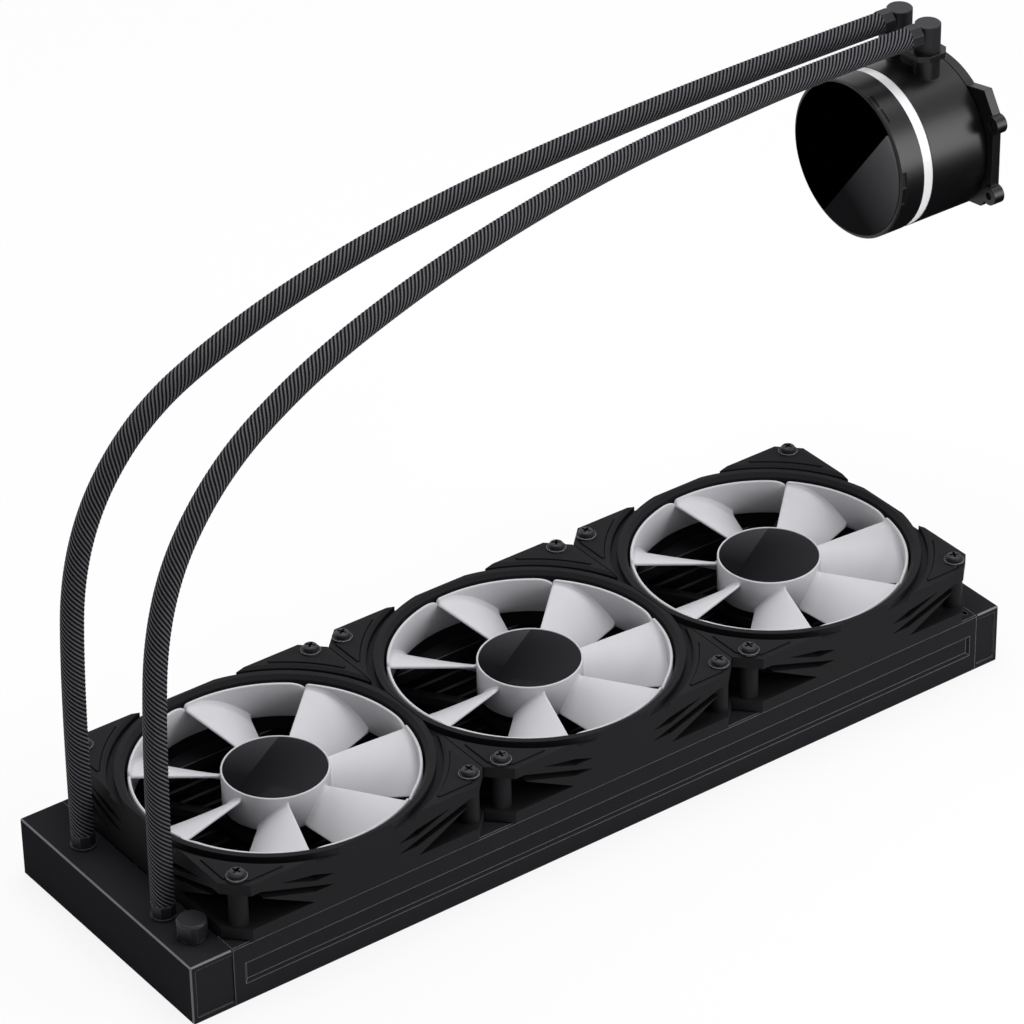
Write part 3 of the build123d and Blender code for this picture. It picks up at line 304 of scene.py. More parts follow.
def finish_of(
    name, colour, tone, grain, relief, edge, rim=None, cornered=False, rough=0.5, gloss=0.5, metal=0.0
):
    """A surface with a grain of the given size in mm that varies its tone and its relief, and soft edges.

    tone is how dark the grain gets, relief its depth and edge the edges' radius, both in mm. rim is the tone
    of a
    painted highlight on the edges: on all of them, or on the square corners alone where it is cornered.
    """
    material, tree = empty_material(name)
    place = add_node(tree, "ShaderNodeTexCoord").outputs["Object"]
    noise = add_node(
        tree,
        "ShaderNodeTexNoise",
        {"Scale": 1 / (grain * MM), "Detail": 3.0, "Roughness": 0.6},
        {"Vector": place},
    )
    grainy = add_node(
        tree, "ShaderNodeMapRange", {"From Min": 0.3, "From Max": 0.7}, {"Value": noise.outputs["Fac"]}
    )
    base = mixed(tree, grainy.outputs["Result"], [c * tone for c in colour[:3]] + [1.0], list(colour))
    bevel = add_node(tree, "ShaderNodeBevel", {"samples": 6, "Radius": edge * MM})
    # Painted highlight: the rim tone is mixed into the base colour on the edges
    if rim:
        if cornered:
            share = corner_share(tree, place, bevel.outputs["Normal"])
        else:
            share = edge_share(tree, bevel.outputs["Normal"])
        base = mixed(tree, share, base, linear(rim))
    bump = add_node(
        tree,
        "ShaderNodeBump",
        {"Strength": 0.6, "Distance": relief * MM},
        {"Height": noise.outputs["Fac"], "Normal": bevel.outputs["Normal"]},
    )
    body = add_node(
        tree,
        "ShaderNodeBsdfPrincipled",
        {"Roughness": rough, "Specular IOR Level": gloss, "Metallic": metal},
        {"Base Color": base, "Normal": bump.outputs["Normal"]},
    )
    add_node(tree, "ShaderNodeOutputMaterial", links={"Surface": body.outputs["BSDF"]})
    return material


def printed_acrylic(name, across, edge, along, fade, ease, field, ground, gloss):
    """Polished acrylic with a painted reflection: a field that starts at a line and fades along it, on a
    ground.

    across and along are directions in the piece's own axes, edge and fade distances along them in mm; ease
    below 1 makes the field fade faster at first; field and ground are pairs of tones of the painted
    reflection, the field's from one end of the fade to the other, the ground's outwards.
    """
    material, tree = empty_material(name)
    place = add_node(tree, "ShaderNodeTexCoord").outputs["Object"]
    faded = add_node(
        tree, "ShaderNodeMath", {"operation": "POWER", 1: ease}, {0: ramp_along(tree, place, along, *fade)}
    )
    # Painted reflection: the field's tones fade along the disc, over the ground's tones
    painted_field = mixed(tree, faded.outputs[0], linear(field[0]), linear(field[1]))
    outwards = ramp_along(tree, place, across, edge, edge - GROUND_FADE)
    under = mixed(tree, outwards, linear(ground[0]), linear(ground[1]))
    tone = mixed(tree, ramp_along(tree, place, across, edge, edge + 0.25), under, painted_field)
    bevel = add_node(tree, "ShaderNodeBevel", {"samples": 6, "Radius": 0.3 * MM})
    body = add_node(
        tree,
        "ShaderNodeBsdfPrincipled",
        {"Roughness": 0.06, "Specular IOR Level": gloss},
        {"Base Color": tone, "Normal": bevel.outputs["Normal"]},
    )
    add_node(tree, "ShaderNodeOutputMaterial", links={"Surface": body.outputs["BSDF"]})
    return material


def powder_coat(colours):
    # Sprayed polyester powder baked on aluminium: satin, with a fine orange peel and a thin painted highlight
    # on its square corners
    return finish_of(
        "powder_coat", colours.radiator, 0.92, 0.9, 0.008, 0.4, "#7c7c7f", True, rough=0.45, gloss=0.0
    )


def rail_coat(colours):
    # The same coat on the pressed rails, with a painted highlight along all of their rounded edges
    return finish_of("rail_coat", colours.radiator, 0.92, 0.9, 0.008, 0.45, "#88888b", rough=0.45, gloss=0.0)


def core_paint(colours):
    # Thin black paint on the brazed core, duller than the powder coat
    return finish_of("core_paint", linear("#161617"), 0.8, 0.8, 0.01, 0.05, rough=0.55, gloss=0.1)


def nylon_sleeve(colours):
    # Woven nylon threads: short soft glints along each rib
    return finish_of("nylon_sleeve", colours.sleeve, 0.6, 0.35, 0.04, 0.05, rough=0.5, gloss=0.15)


def sleeve_groove_painted_shade(colours):
    # The same nylon painted darker between the ribs: painted shade, where hardly any light gets
    return finish_of("sleeve_groove_painted_shade", linear("#1e1e21"), 0.7, 0.35, 0.04, 0.05, rough=0.9, gloss=0.0)


def anodised_fitting(colours):
    # Black anodised brass and aluminium: even satin, with a painted highlight along its edges
    return finish_of(
        "anodised_fitting", colours.fitting, 0.9, 0.4, 0.006, 0.25, "#5c5c62", rough=0.38, gloss=0.2
    )


def glass_filled_pbt(colours):
    # Moulded against a spark-eroded tool: matte, with a very fine grain
    return finish_of("glass_filled_pbt", colours.frame, 0.9, 0.5, 0.012, 0.3, rough=0.5, gloss=0.04)


def moulded_rubber(colours):
    # Moulded rubber: duller and a little lighter than the plastic beside it
    return finish_of("moulded_rubber", linear("#242427"), 0.9, 0.4, 0.015, 0.25, rough=0.7, gloss=0.04)


def milky_polycarbonate(colours):
    # Translucent polycarbonate moulded against a polished tool: soft white with smooth highlights
    return finish_of("milky_polycarbonate", colours.rotor, 0.985, 4.0, 0.0, 0.2, rough=0.38, gloss=0.3)


def abs_housing(colours):
    # Moulded ABS with a fine satin texture
    return finish_of("abs_housing", colours.housing, 0.94, 0.5, 0.005, 0.3, rough=0.33, gloss=0.35)


def smoked_hub_painted_reflection(colours):
    # Polished black acrylic with a painted reflection: a lighter field that fades out past the middle
    return printed_acrylic(
        "smoked_hub_painted_reflection", (-0.511, 0.860, 0), 7.15, (0.860, 0.511, 0), (19, -10), 1.0,
        ("#38383b", "#151517"), ("#121214", "#28282b"), 0.01,
    )


def smoked_face_painted_reflection(colours):
    # The same acrylic on the pump: near black, with a painted reflection, a grey field below its diagonal
    return printed_acrylic(
        "smoked_face_painted_reflection", (0, -0.799, -0.601), 6.79, (0, 0.601, -0.799), (-31, 12), 0.75,
        ("#6a6a6d", "#1f1f21"), ("#010101", "#010101"), 0.0,
    )


def opal_diffuser(colours):
    # Opal polycarbonate over the lamps: white all through, with no grain
    return finish_of("opal_diffuser", linear("#efeff1"), 0.98, 3.0, 0.0, 0.15, rough=0.4)


def zinc_screw(colours):
    # Black zinc on steel: dark satin metal with a fine grain
    return finish_of("zinc_screw", linear("#333337"), 0.7, 0.3, 0.01, 0.2, rough=0.4, gloss=0.2)


def screw_recess_painted_shade(colours):
    # The same zinc painted darker down in the cross: painted shade, where hardly any light gets
    return finish_of("screw_recess_painted_shade", linear("#060607"), 0.7, 0.3, 0.0, 0.05, rough=0.7, gloss=0.0)


def zinc_washer(colours):
    # Pressed washer in black zinc, with a bright painted highlight along its rounded rim
    return finish_of("zinc_washer", linear("#18181a"), 0.7, 0.3, 0.01, 0.3, "#b8b8bc", rough=0.4, gloss=0.15)


def milled_copper(colours):
    # Copper faced in a lathe
    return finish_of("milled_copper", linear("#d08a63"), 0.85, 0.5, 0.01, 0.15, rough=0.25, metal=1.0)


def enamelled_winding(colours):
    # Enamelled copper wire on its core
    return finish_of("enamelled_winding", linear("#a35a34"), 0.6, 0.4, 0.05, 0.2, rough=0.4, metal=0.6)


def sintered_bronze(colours):
    # Pressed and sintered bronze powder: open, dull grain
    return finish_of("sintered_bronze", linear("#8d6a3f"), 0.7, 0.3, 0.03, 0.1, rough=0.5, metal=0.9)


def ground_steel(colours):
    # Ground steel shaft
    return finish_of("ground_steel", linear("#b4b4b8"), 0.9, 0.3, 0.005, 0.1, rough=0.25, metal=1.0)


def bonded_ferrite(colours):
    # Pressed magnet in its steel yoke: dark grey with a fine grit
    return finish_of("bonded_ferrite", linear("#4a4a4e"), 0.8, 0.3, 0.02, 0.15, rough=0.5, metal=0.3)


def solder_mask(colours):
    # Green solder mask over a fibreglass board
    return finish_of("solder_mask", linear("#1f4d2c"), 0.85, 1.2, 0.01, 0.1, rough=0.3)


def fired_ceramic(colours):
    # Fired and polished ceramic
    return finish_of("fired_ceramic", linear("#e4e0d6"), 0.97, 1.0, 0.0, 0.1, rough=0.2)


def nitrile_rubber(colours):
    # Moulded sealing rings
    return finish_of("nitrile_rubber", linear("#1d1d1e"), 0.9, 0.4, 0.01, 0.2, rough=0.6)


FINISHES = {
    powder_coat: ["port_tank", "return_tank"],
    rail_coat: ["side_rail_near", "side_rail_far"],
    core_paint: ["coolant_tubes"],
    anodised_fitting: [
        "fill_plug", "tank_stubs", "tank_ferrules", "pump_ferrules", "elbow_back", "elbow_front"
    ],
    nitrile_rubber: ["fill_plug_seal", "elbow_seals", "cold_plate_gasket"],
    abs_housing: ["cap_ring", "pump_housing", "volute_plate", "base_flange", "saddle_plate"],
    opal_diffuser: ["light_ring"],
    solder_mask: ["light_board"] + [f"fan_{n}_circuit_board" for n in FANS],
    enamelled_winding: ["pump_stator"] + [f"fan_{n}_stator" for n in FANS],
    bonded_ferrite: ["impeller"] + [f"fan_{n}_magnet_ring" for n in FANS],
    fired_ceramic: ["impeller_shaft"],
    milled_copper: ["cold_plate"],
    zinc_screw: ["pump_screws"],
    glass_filled_pbt: [f"fan_{n}_frame" for n in FANS],
    moulded_rubber: [f"fan_{n}_corner_pads" for n in FANS],
    ground_steel: [f"fan_{n}_shaft" for n in FANS],
    sintered_bronze: [f"fan_{n}_bearing" for n in FANS],
}


def material_named(maker, colours):
    """The material that a function makes, made once."""
    return bpy.data.materials.get(maker.__name__) or maker(colours)


# Mesh helpers


def new_piece(name, mesh_data, material, slot, body, *nodes, place=(0, 0, 0)):
    """Puts a mesh in the scene as one piece that rides on a body and stands for CAD nodes."""
    piece = bpy.data.objects.new(name, mesh_data)
    bpy.context.scene.collection.objects.link(piece)
    piece.location = place
    if not mesh_data.materials:
        mesh_data.materials.append(material)
    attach(piece, body)
    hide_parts(*nodes)
    return piece


def to_mesh(name, bm, sharp=radians(40)):
    """A mesh datablock with its normals outwards and its creases kept sharp."""
    bmesh.ops.recalc_face_normals(bm, faces=bm.faces)
    mesh = bpy.data.meshes.new(name)
    bm.to_mesh(mesh)
    bm.free()
    mesh.shade_smooth()
    mesh.set_sharp_from_angle(angle=sharp)
    return mesh


def bridge(bm, rows, closed_rows=True, closed_loop=False):
    """Faces between rows of points that have the same count."""
    made = [[bm.verts.new(p) for p in row] for row in rows]
    pairs = list(zip(made, made[1:]))
    if closed_loop:
        pairs.append((made[-1], made[0]))
    count = len(rows[0])
    last = count if closed_rows else count - 1
    for row, after in pairs:
        for k in range(last):
            j = (k + 1) % count
            bm.faces.new((row[k], row[j], after[j], after[k]))
    return made


def lathe(bm, profile, steps, axis_place=(0, 0, 0)):
    """A closed outline of radius and height turned about Z; points on the axis close it."""
    rows = []
    for k in range(steps):
        turn = 2 * pi * k / steps
        rows.append([(r * cos(turn), r * sin(turn), z) for r, z in profile])
    made = bridge(bm, rows, closed_rows=False, closed_loop=True)
    bmesh.ops.remove_doubles(bm, verts=[v for row in made for v in row], dist=1e-7)


# Hoses


def spline_points(name, route):
    """Points along the smooth line that a route's points control."""
    curve = bpy.data.curves.new(name, "CURVE")
    curve.dimensions = "3D"
    spline = curve.splines.new("NURBS")
    spline.points.add(len(route) - 1)
    for point, place in zip(spline.points, route):
        point.co = (*place, 1.0)
    spline.order_u = 3
    spline.use_endpoint_u = True
    spline.resolution_u = 64
    holder = bpy.data.objects.new(name, curve)
    bpy.context.scene.collection.objects.link(holder)
    line = bpy.data.meshes.new_from_object(holder)
    points = [v.co.copy() for v in line.vertices]
    bpy.data.objects.remove(holder)
    bpy.data.curves.remove(curve)
    bpy.data.meshes.remove(line)
    return points


def even_points(points, step):
    """The same line with its points the same distance apart."""
    lengths = [0.0]
    for a, b in zip(points, points[1:]):
        lengths.append(lengths[-1] + (b - a).length)
    count = ceil(lengths[-1] / step)
    found, k = [], 0
    for n in range(count + 1):
        want = lengths[-1] * n / count
        while k < len(points) - 2 and lengths[k + 1] < want:
            k += 1
        share = (want - lengths[k]) / (lengths[k + 1] - lengths[k])
        found.append(points[k].lerp(points[k + 1], share))
    return found, lengths[-1]


def ribbed_hose(name, route, sizes):
    """A tube with left-handed ribs wound round it, closed at both ends; gives its mesh, line and length."""
    # Faces across one rib from groove to groove, those on its crest, and how full its rounding is
    per_rib, crest, fullness = 7, (2, 3, 4), 0.7
    steps_per_turn = 26
    points, length = even_points(spline_points(name, route), sizes.rib_lead / steps_per_turn)
    around = sizes.rib_count * per_rib
    outer = sizes.hose_diameter / 2
    radii = [outer - sizes.rib_depth * (1 - sin(pi * k / per_rib) ** fullness) for k in range(per_rib)]
    bm = bmesh.new()
    side = Vector((0, 1, 0))
    rows = []
    for n, point in enumerate(points):
        ahead = (points[min(n + 1, len(points) - 1)] - points[max(n - 1, 0)]).normalized()
        side = (side - side.dot(ahead) * ahead).normalized()
        up = ahead.cross(side)
        twist = -2 * pi * n / steps_per_turn
        row = []
        for k in range(around):
            turn = twist + 2 * pi * k / around
            radius = radii[k % per_rib]
            row.append(point + radius * (cos(turn) * side + sin(turn) * up))
        rows.append(row)
    made = bridge(bm, rows)
    bm.faces.new(made[0])
    bm.faces.new(made[-1])
    mesh = to_mesh(name, bm, radians(75))
    # Faces off the crest take the darker nylon: painted shade in the grooves
    for face in mesh.polygons[:-2]:
        face.material_index = 0 if face.index % per_rib in crest else 1
    return mesh, points, length


class COOLER_OT_hoses(bpy.types.Operator):
    """Winds the ribbed nylon sleeves of both hoses"""

    bl_idname = "cooler.hoses"
    bl_label = "Hoses"

    def execute(self, context):
        sizes, colours = context.scene.cooler_sizes, context.scene.cooler_colours
        for node, route in {"hose_back": BACK_ROUTE, "hose_front": FRONT_ROUTE}.items():
            mesh, points, length = ribbed_hose(node + "_sleeve", route, sizes)
            for maker in (nylon_sleeve, sleeve_groove_painted_shade):
                mesh.materials.append(material_named(maker, colours))
            piece = new_piece(node + "_sleeve", mesh, None, "hose_sleeve", "cooler", node)
        return {"FINISHED"}


# Radiator core


class COOLER_OT_fins(bpy.types.Operator):
    """Folds the thin fin strips between the coolant tubes"""

    bl_idname = "cooler.fins"
    bl_label = "Cooling fins"

    def execute(self, context):
        sizes, colours = context.scene.cooler_sizes, context.scene.cooler_colours
        low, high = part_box("cooling_fins")
        count = sizes.strip_count
        width = (high.y - low.y - (count - 1) * sizes.tube_width) / count
        folds = round((high.x - low.x) / sizes.fin_pitch) * 2
        half, sheet = width / 2, sizes.fin_sheet / 2
        bm = bmesh.new()
        for n in range(count):
            middle = low.y + half + n * (width + sizes.tube_width)
            rows = []
            for k in range(folds + 1):
                x = low.x + (high.x - low.x) * k / folds
                y = middle + (half - sheet) * (1 if k % 2 else -1)
                near, far = y - sheet, y + sheet
                rows.append([(x, near, low.z), (x, far, low.z), (x, far, high.z), (x, near, high.z)])
            made = bridge(bm, rows)
            bm.faces.new(made[0])
            bm.faces.new(made[-1])
        mesh = to_mesh("folded_fins", bm, radians(20))
        material = material_named(core_paint, colours)
        new_piece("folded_fins", mesh, material, "black_core", "cooler", "cooling_fins")
        return {"FINISHED"}


# Fan rotors, in millimetres above the rotor's lowest edge and from its axis

ROTOR = {
    "hub_r": 20.9,
    "hub_wall": 1.3,
    "hub_top": 22.4,
    "hub_low": 7.4,
    "plate_top": 21.6,
    "plate_low": 20.0,
    "lip": 0.7,
    "ring_r": 55.9,
    "ring_wall": 1.2,
    "ring_top": 22.9,
    "ring_low": 7.6,
    "blade_t": 1.5,
    "taper": 0.7,
    "start": -7.5,
    "long_shoulder": 6.5,
    "short_shoulder": 1.6,
}
# A blade's line at the hub and at the ring: radius, leading and trailing height, sweep in degrees, and how
# much of the fall comes late
BLADE_ROOT = (20.25, 19.6, 7.9, 35.0, 0.55)
BLADE_TIP = (55.3, 21.1, 7.9, 28.7, 1.0)
# Faces of a blade from hub to ring and from edge to edge, and what a fillet leaves below the rim beside it
BLADE_SPANS = 34
BLADE_STEPS = 40
RIM_LEFT = 0.3


def ring_height(turn, notch_depth):
    """Top of the outer ring at an angle, in degrees, from the leading edge before it."""
    pitch = 360 / BLADES
    arc = radians(turn % pitch) * ROTOR["ring_r"]
    back = radians(pitch) * ROTOR["ring_r"] - arc
    drop = 0.0
    for distance, reach in ((arc, ROTOR["long_shoulder"]), (back, ROTOR["short_shoulder"])):
        if distance < reach:
            drop = max(drop, notch_depth * (1 - sqrt(1 - (1 - distance / reach) ** 2)))
    return ROTOR["ring_top"] - drop


def ring_turns():
    """Angles round the ring, closer together beside each notch."""
    pitch = 360 / BLADES
    near = [0.0, 0.15, 0.4, 0.8, 1.3, 2.0, 2.8, 3.8, 5.0, 6.3, 7.6]
    far = [9.6 + k * (pitch - 12.6) / 16 for k in range(17)]
    last = [pitch - d for d in (2.2, 1.6, 1.1, 0.7, 0.35, 0.12)]
    return [ROTOR["start"] + n * pitch + turn for n in range(BLADES) for turn in near + far + last]


def add_ring(bm, notch_depth):
    """The outer ring, whose top edge dips at each leading edge."""
    outer, inner = ROTOR["ring_r"], ROTOR["ring_r"] - ROTOR["ring_wall"]
    low = ROTOR["ring_low"]
    rows = []
    for turn in ring_turns():
        high = ring_height(turn - ROTOR["start"], notch_depth)
        profile = [
            (outer, low + 0.3),
            (outer, high - 0.45),
            (outer - 0.14, high - 0.13),
            (outer - 0.45, high),
            (inner + 0.45, high),
            (inner + 0.14, high - 0.13),
            (inner, high - 0.45),
            (inner, low + 0.3),
            (inner + 0.3, low),
            (outer - 0.3, low),
        ]
        angle = radians(turn)
        rows.append([(r * cos(angle), r * sin(angle), z) for r, z in profile])
    bridge(bm, rows, closed_loop=True)


def add_hub(bm):
    """The hub: a cup with its plate near the top and a lip round it."""
    r, top, low = ROTOR["hub_r"], ROTOR["hub_top"], ROTOR["hub_low"]
    wall, lip = ROTOR["hub_wall"], ROTOR["lip"]
    lathe(
        bm,
        [
            (0, ROTOR["plate_top"]),
            (r - lip, ROTOR["plate_top"]),
            (r - lip, top - 0.1),
            (r - lip + 0.1, top),
            (r - 0.35, top),
            (r - 0.1, top - 0.1),
            (r, top - 0.35),
            (r, low + 0.2),
            (r - 0.2, low),
            (r - wall, low),
            (r - wall, ROTOR["plate_low"]),
            (0, ROTOR["plate_low"]),
        ],
        112,
    )


def fillet_rise(gap, radius):
    """How far a hollow fillet has risen at a distance from the wall it runs into."""
    if gap >= radius or radius <= 0:
        return 0.0
    return radius - sqrt(max(0.0, radius**2 - (radius - max(gap, 0.0)) ** 2))


def blade_line(line, share):
    """A point of a blade's line at a share of its sweep from the leading edge."""
    radius, lead, trail, sweep, late = line
    turn = radians(-sweep * share)
    fall = (lead - trail) * ((1 - late) * share + late * share**2)
    return Vector((radius * cos(turn), radius * sin(turn), lead - fall))


def blade_heights(point, share, fillet, notch_depth):
    """Upper and lower height of a blade at a point of its surface."""
    radius = sqrt(point.x**2 + point.y**2)
    half = ROTOR["blade_t"] / 2 * (1 - ROTOR["taper"] * share)
    sweep = radians(BLADE_TIP[3]) * radius * min(share, 1 - share)
    round_off = sqrt(max(0.0, 1 - (1 - min(1.0, sweep / half)) ** 2))
    middle = point.z - half
    wall = ROTOR["ring_r"] - ROTOR["ring_wall"]
    turn = degrees(atan2(point.y, point.x))
    room = ring_height(turn, notch_depth) - point.z - RIM_LEFT
    rise = fillet_rise(wall - radius, min(fillet, room))
    rise += fillet_rise(radius - ROTOR["hub_r"], min(fillet / 2, ROTOR["hub_top"] - point.z - RIM_LEFT))
    return middle + half * round_off + rise, middle - half * round_off


def add_blade(bm, start, fillet, notch_depth):
    """One twisted blade between the hub's wall and the ring's wall."""
    spans = [0.5 * (1 - cos(pi * k / BLADE_SPANS)) for k in range(BLADE_SPANS + 1)]
    shares = [0.5 * (1 - cos(pi * k / BLADE_STEPS)) for k in range(BLADE_STEPS + 1)]
    turn = Matrix.Rotation(radians(start), 3, "Z")
    loops = []
    for share in shares:
        root, tip = blade_line(BLADE_ROOT, share), blade_line(BLADE_TIP, share)
        top_row, low_row = [], []
        for span in spans:
            point = root.lerp(tip, span)
            high, low = blade_heights(point, share, fillet, notch_depth)
            top_row.append(turn @ Vector((point.x, point.y, high)))
            low_row.append(turn @ Vector((point.x, point.y, low)))
        loops.append(top_row + low_row[::-1])
    first = len(bm.verts)
    made = bridge(bm, loops)
    for row in (made[0], made[-1]):
        count = len(row) // 2
        for k in range(count - 1):
            bm.faces.new((row[k], row[k + 1], row[-2 - k], row[-1 - k]))
    bm.verts.ensure_lookup_table()
    bmesh.ops.remove_doubles(bm, verts=bm.verts[first:], dist=1e-5)


def rotor_mesh(sizes):
    """A rotor in metres: ring, hub and blades."""
    bm = bmesh.new()
    notch, fillet = sizes.notch_depth / MM, sizes.blade_fillet / MM
    add_ring(bm, notch)
    add_hub(bm)
    for n in range(BLADES):
        add_blade(bm, ROTOR["start"] + 360 * n / BLADES, fillet, notch)
    bmesh.ops.scale(bm, vec=(MM, MM, MM), verts=bm.verts)
    return to_mesh("rotor", bm, radians(50))


def hub_disc_mesh():
    """The disc that lies inside the hub's lip."""
    bm = bmesh.new()
    r, low, high = ROTOR["hub_r"] - ROTOR["lip"] - 0.1, ROTOR["plate_top"], ROTOR["hub_top"] - 0.1
    lathe(bm, [(0, low), (r, low), (r, high - 0.3), (r - 0.1, high - 0.1), (r - 0.3, high), (0, high)], 96)
    bmesh.ops.scale(bm, vec=(MM, MM, MM), verts=bm.verts)
    return to_mesh("hub_disc", bm)


class COOLER_OT_rotors(bpy.types.Operator):
    """Moulds the three rotors with their twisted blades and notched rings, and their hub discs"""

    bl_idname = "cooler.rotors"
    bl_label = "Fan rotors"

    def execute(self, context):
        sizes, colours = context.scene.cooler_sizes, context.scene.cooler_colours
        rotor, disc = rotor_mesh(sizes), hub_disc_mesh()
        white = material_named(milky_polycarbonate, colours)
        black = material_named(smoked_hub_painted_reflection, colours)
        for n in FANS:
            low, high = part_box(f"fan_{n}_rotor")
            place = ((low.x + high.x) / 2, 0, low.z - ROTOR["hub_low"] * MM)
            body = f"fan_{n}_spinner"
            new_piece(f"fan_{n}_blades", rotor, white, "rotor_plastic", body, f"fan_{n}_rotor", place=place)
            new_piece(f"fan_{n}_cap", disc, black, "gloss_black", body, f"fan_{n}_hub_disc", place=place)
        return {"FINISHED"}


# Pump head


class COOLER_OT_face(bpy.types.Operator):
    """Lays the polished disc, with its painted reflection, into the pump's face"""

    bl_idname = "cooler.face"
    bl_label = "Pump face"

    def execute(self, context):
        low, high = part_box("face_disc")
        reach, depth, edge = (high.z - low.z) / 2, high.x - low.x, 0.5 * MM
        profile = [(0, 0), (reach - edge, 0)]
        for k in range(1, 7):
            turn = pi / 12 * k
            profile.append((reach - edge + edge * sin(turn), edge - edge * cos(turn)))
        profile += [(reach, depth), (0, depth)]
        bm = bmesh.new()
        lathe(bm, profile, 160)
        bmesh.ops.rotate(bm, matrix=Matrix.Rotation(pi / 2, 3, "Y"), verts=bm.verts)
        material = material_named(smoked_face_painted_reflection, context.scene.cooler_colours)
        place = (low.x, (low.y + high.y) / 2, (low.z + high.z) / 2)
        mesh = to_mesh("face_painted_reflection", bm)
        new_piece("face_painted_reflection", mesh, material, "gloss_black", "cooler", "face_disc", place=place)
        return {"FINISHED"}


# Fan screws and washers, in millimetres, and how far each cross is turned in degrees

HOLE = 52.5
SHANK_R = 1.5
SCREW_HEAD_R = 2.9
SCREW_HEAD_H = 2.1
DOME_H = 0.9
DOME_W = 1.5
HEAD_EDGE = 0.15
# The cross: how far it reaches and half its arm's width, at its foot and at its mouth, and its depth
CROSS_FOOT = (1.1, 0.28)
CROSS_MOUTH = (2.0, 0.5)
CROSS_DEPTH = 1.2
# A face this near the axis and this far below the top belongs to the cross
CROSS_REACH = 1.9
CROSS_FROM = 0.25
WASHER_R = 4.1
WASHER_BORE_R = 1.595
WASHER_EDGE = 0.2
SCREW_TURNS = (20, 65, 10, 40, 75, 30, 5, 50, 85, 25, 60, 15)


def cut_away(mesh, tool):
    """The first mesh with the second taken away from it."""
    body, knife = bpy.data.objects.new("blank", mesh), bpy.data.objects.new("knife", tool)
    for one in (body, knife):
        bpy.context.scene.collection.objects.link(one)
    modifier = body.modifiers.new("cut", "BOOLEAN")
    modifier.operation, modifier.object, modifier.solver = "DIFFERENCE", knife, "EXACT"
    depsgraph = bpy.context.evaluated_depsgraph_get()
    result = bpy.data.meshes.new_from_object(body.evaluated_get(depsgraph))
    for one in (body, knife):
        bpy.data.objects.remove(one)
    for one in (mesh, tool):
        bpy.data.meshes.remove(one)
    return result


def plus_outline(reach, half, z):
    """The twelve corners of a cross at one height."""
    row = []
    for k in range(4):
        turn = Matrix.Rotation(pi / 2 * k, 3, "Z")
        row += [turn @ Vector(p) for p in ((reach, -half, z), (reach, half, z), (half, half, z))]
    return row


def screw_mesh(low, seat, top):
    """A pan-head screw with a tapered cross recess."""
    shank, rim, dome, edge = SHANK_R * MM, SCREW_HEAD_R * MM, DOME_H * MM, HEAD_EDGE * MM
    profile = [(0, low), (shank, low), (shank, seat), (rim - edge, seat), (rim, seat + edge)]
    for k in range(9):
        turn = pi / 2 * k / 8
        profile.append((rim - DOME_W * MM * (1 - cos(turn)), top - dome + dome * sin(turn)))
    profile.append((0, top))
    bm = bmesh.new()
    lathe(bm, profile, 48)
    blank = to_mesh("screw_blank", bm)
    bm = bmesh.new()
    foot = plus_outline(*[size * MM for size in CROSS_FOOT], top - CROSS_DEPTH * MM)
    mouth = plus_outline(*[size * MM for size in CROSS_MOUTH], top + 0.1 * MM)
    made = bridge(bm, [foot, mouth])
    bm.faces.new(made[0])
    bm.faces.new(made[-1])
    screw = cut_away(blank, to_mesh("screw_cross", bm))
    # Faces down in the cross take the darker zinc: painted shade in the recess
    for face in screw.polygons:
        inside = face.center.xy.length < CROSS_REACH * MM and seat < face.center.z < top - CROSS_FROM * MM
        face.material_index = 1 if inside else 0
    return screw


def washer_mesh(low, high):
    """A flat washer with rounded edges."""
    outer, inner, edge = WASHER_R * MM, WASHER_BORE_R * MM, WASHER_EDGE * MM
    bm = bmesh.new()
    profile = [(inner, low), (outer - edge, low), (outer, low + edge), (outer, high - edge)]
    profile += [(outer - 0.3 * edge, high - 0.3 * edge), (outer - edge, high), (inner, high)]
    lathe(bm, profile, 64)
    return to_mesh("washer", bm)


def repeated(name, mesh, places, turns):
    """One mesh that holds a copy at each place, each turned its own way."""
    bm = bmesh.new()
    for place, turn in zip(places, turns):
        first = len(bm.verts)
        bm.from_mesh(mesh)
        bm.verts.ensure_lookup_table()
        move = Matrix.Translation(place) @ Matrix.Rotation(turn, 4, "Z")
        bmesh.ops.transform(bm, matrix=move, verts=bm.verts[first:])
    bpy.data.meshes.remove(mesh)
    return to_mesh(name, bm, radians(35))


class COOLER_OT_screws(bpy.types.Operator):
    """Turns the twelve fan screws and presses their washers"""

    bl_idname = "cooler.screws"
    bl_label = "Fan screws"

    def execute(self, context):
        colours = context.scene.cooler_colours
        places = []
        for n in FANS:
            low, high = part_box(f"fan_{n}_rotor")
            middle = (low.x + high.x) / 2
            places += [(middle + x * HOLE * MM, y * HOLE * MM, 0) for x in (-1, 1) for y in (-1, 1)]
        turns = [radians(turn) for turn in SCREW_TURNS]
        low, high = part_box("fan_screws")
        screw = screw_mesh(low.z, high.z - SCREW_HEAD_H * MM, high.z)
        mesh = repeated("pan_head_screws", screw, places, turns)
        for maker in (zinc_screw, screw_recess_painted_shade):
            mesh.materials.append(material_named(maker, colours))
        new_piece("pan_head_screws", mesh, None, "black_steel", "cooler", "fan_screws")
        low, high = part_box("fan_washers")
        mesh = repeated("round_washers", washer_mesh(low.z, high.z), places, turns)
        washed = material_named(zinc_washer, colours)
        new_piece("round_washers", mesh, washed, "black_steel", "cooler", "fan_washers")
        return {"FINISHED"}


class COOLER_OT_finishes(bpy.types.Operator):
    """Gives every CAD piece that keeps its shape its finish"""

    bl_idname = "cooler.finishes"
    bl_label = "Finishes"

    def execute(self, context):
        colours = context.scene.cooler_colours
        for maker, names in FINISHES.items():
            material = material_named(maker, colours)
            for name in names:
                for slot in frame["nodes"][name].material_slots:
                    slot.material = material
        return {"FINISHED"}


# Stage, in metres

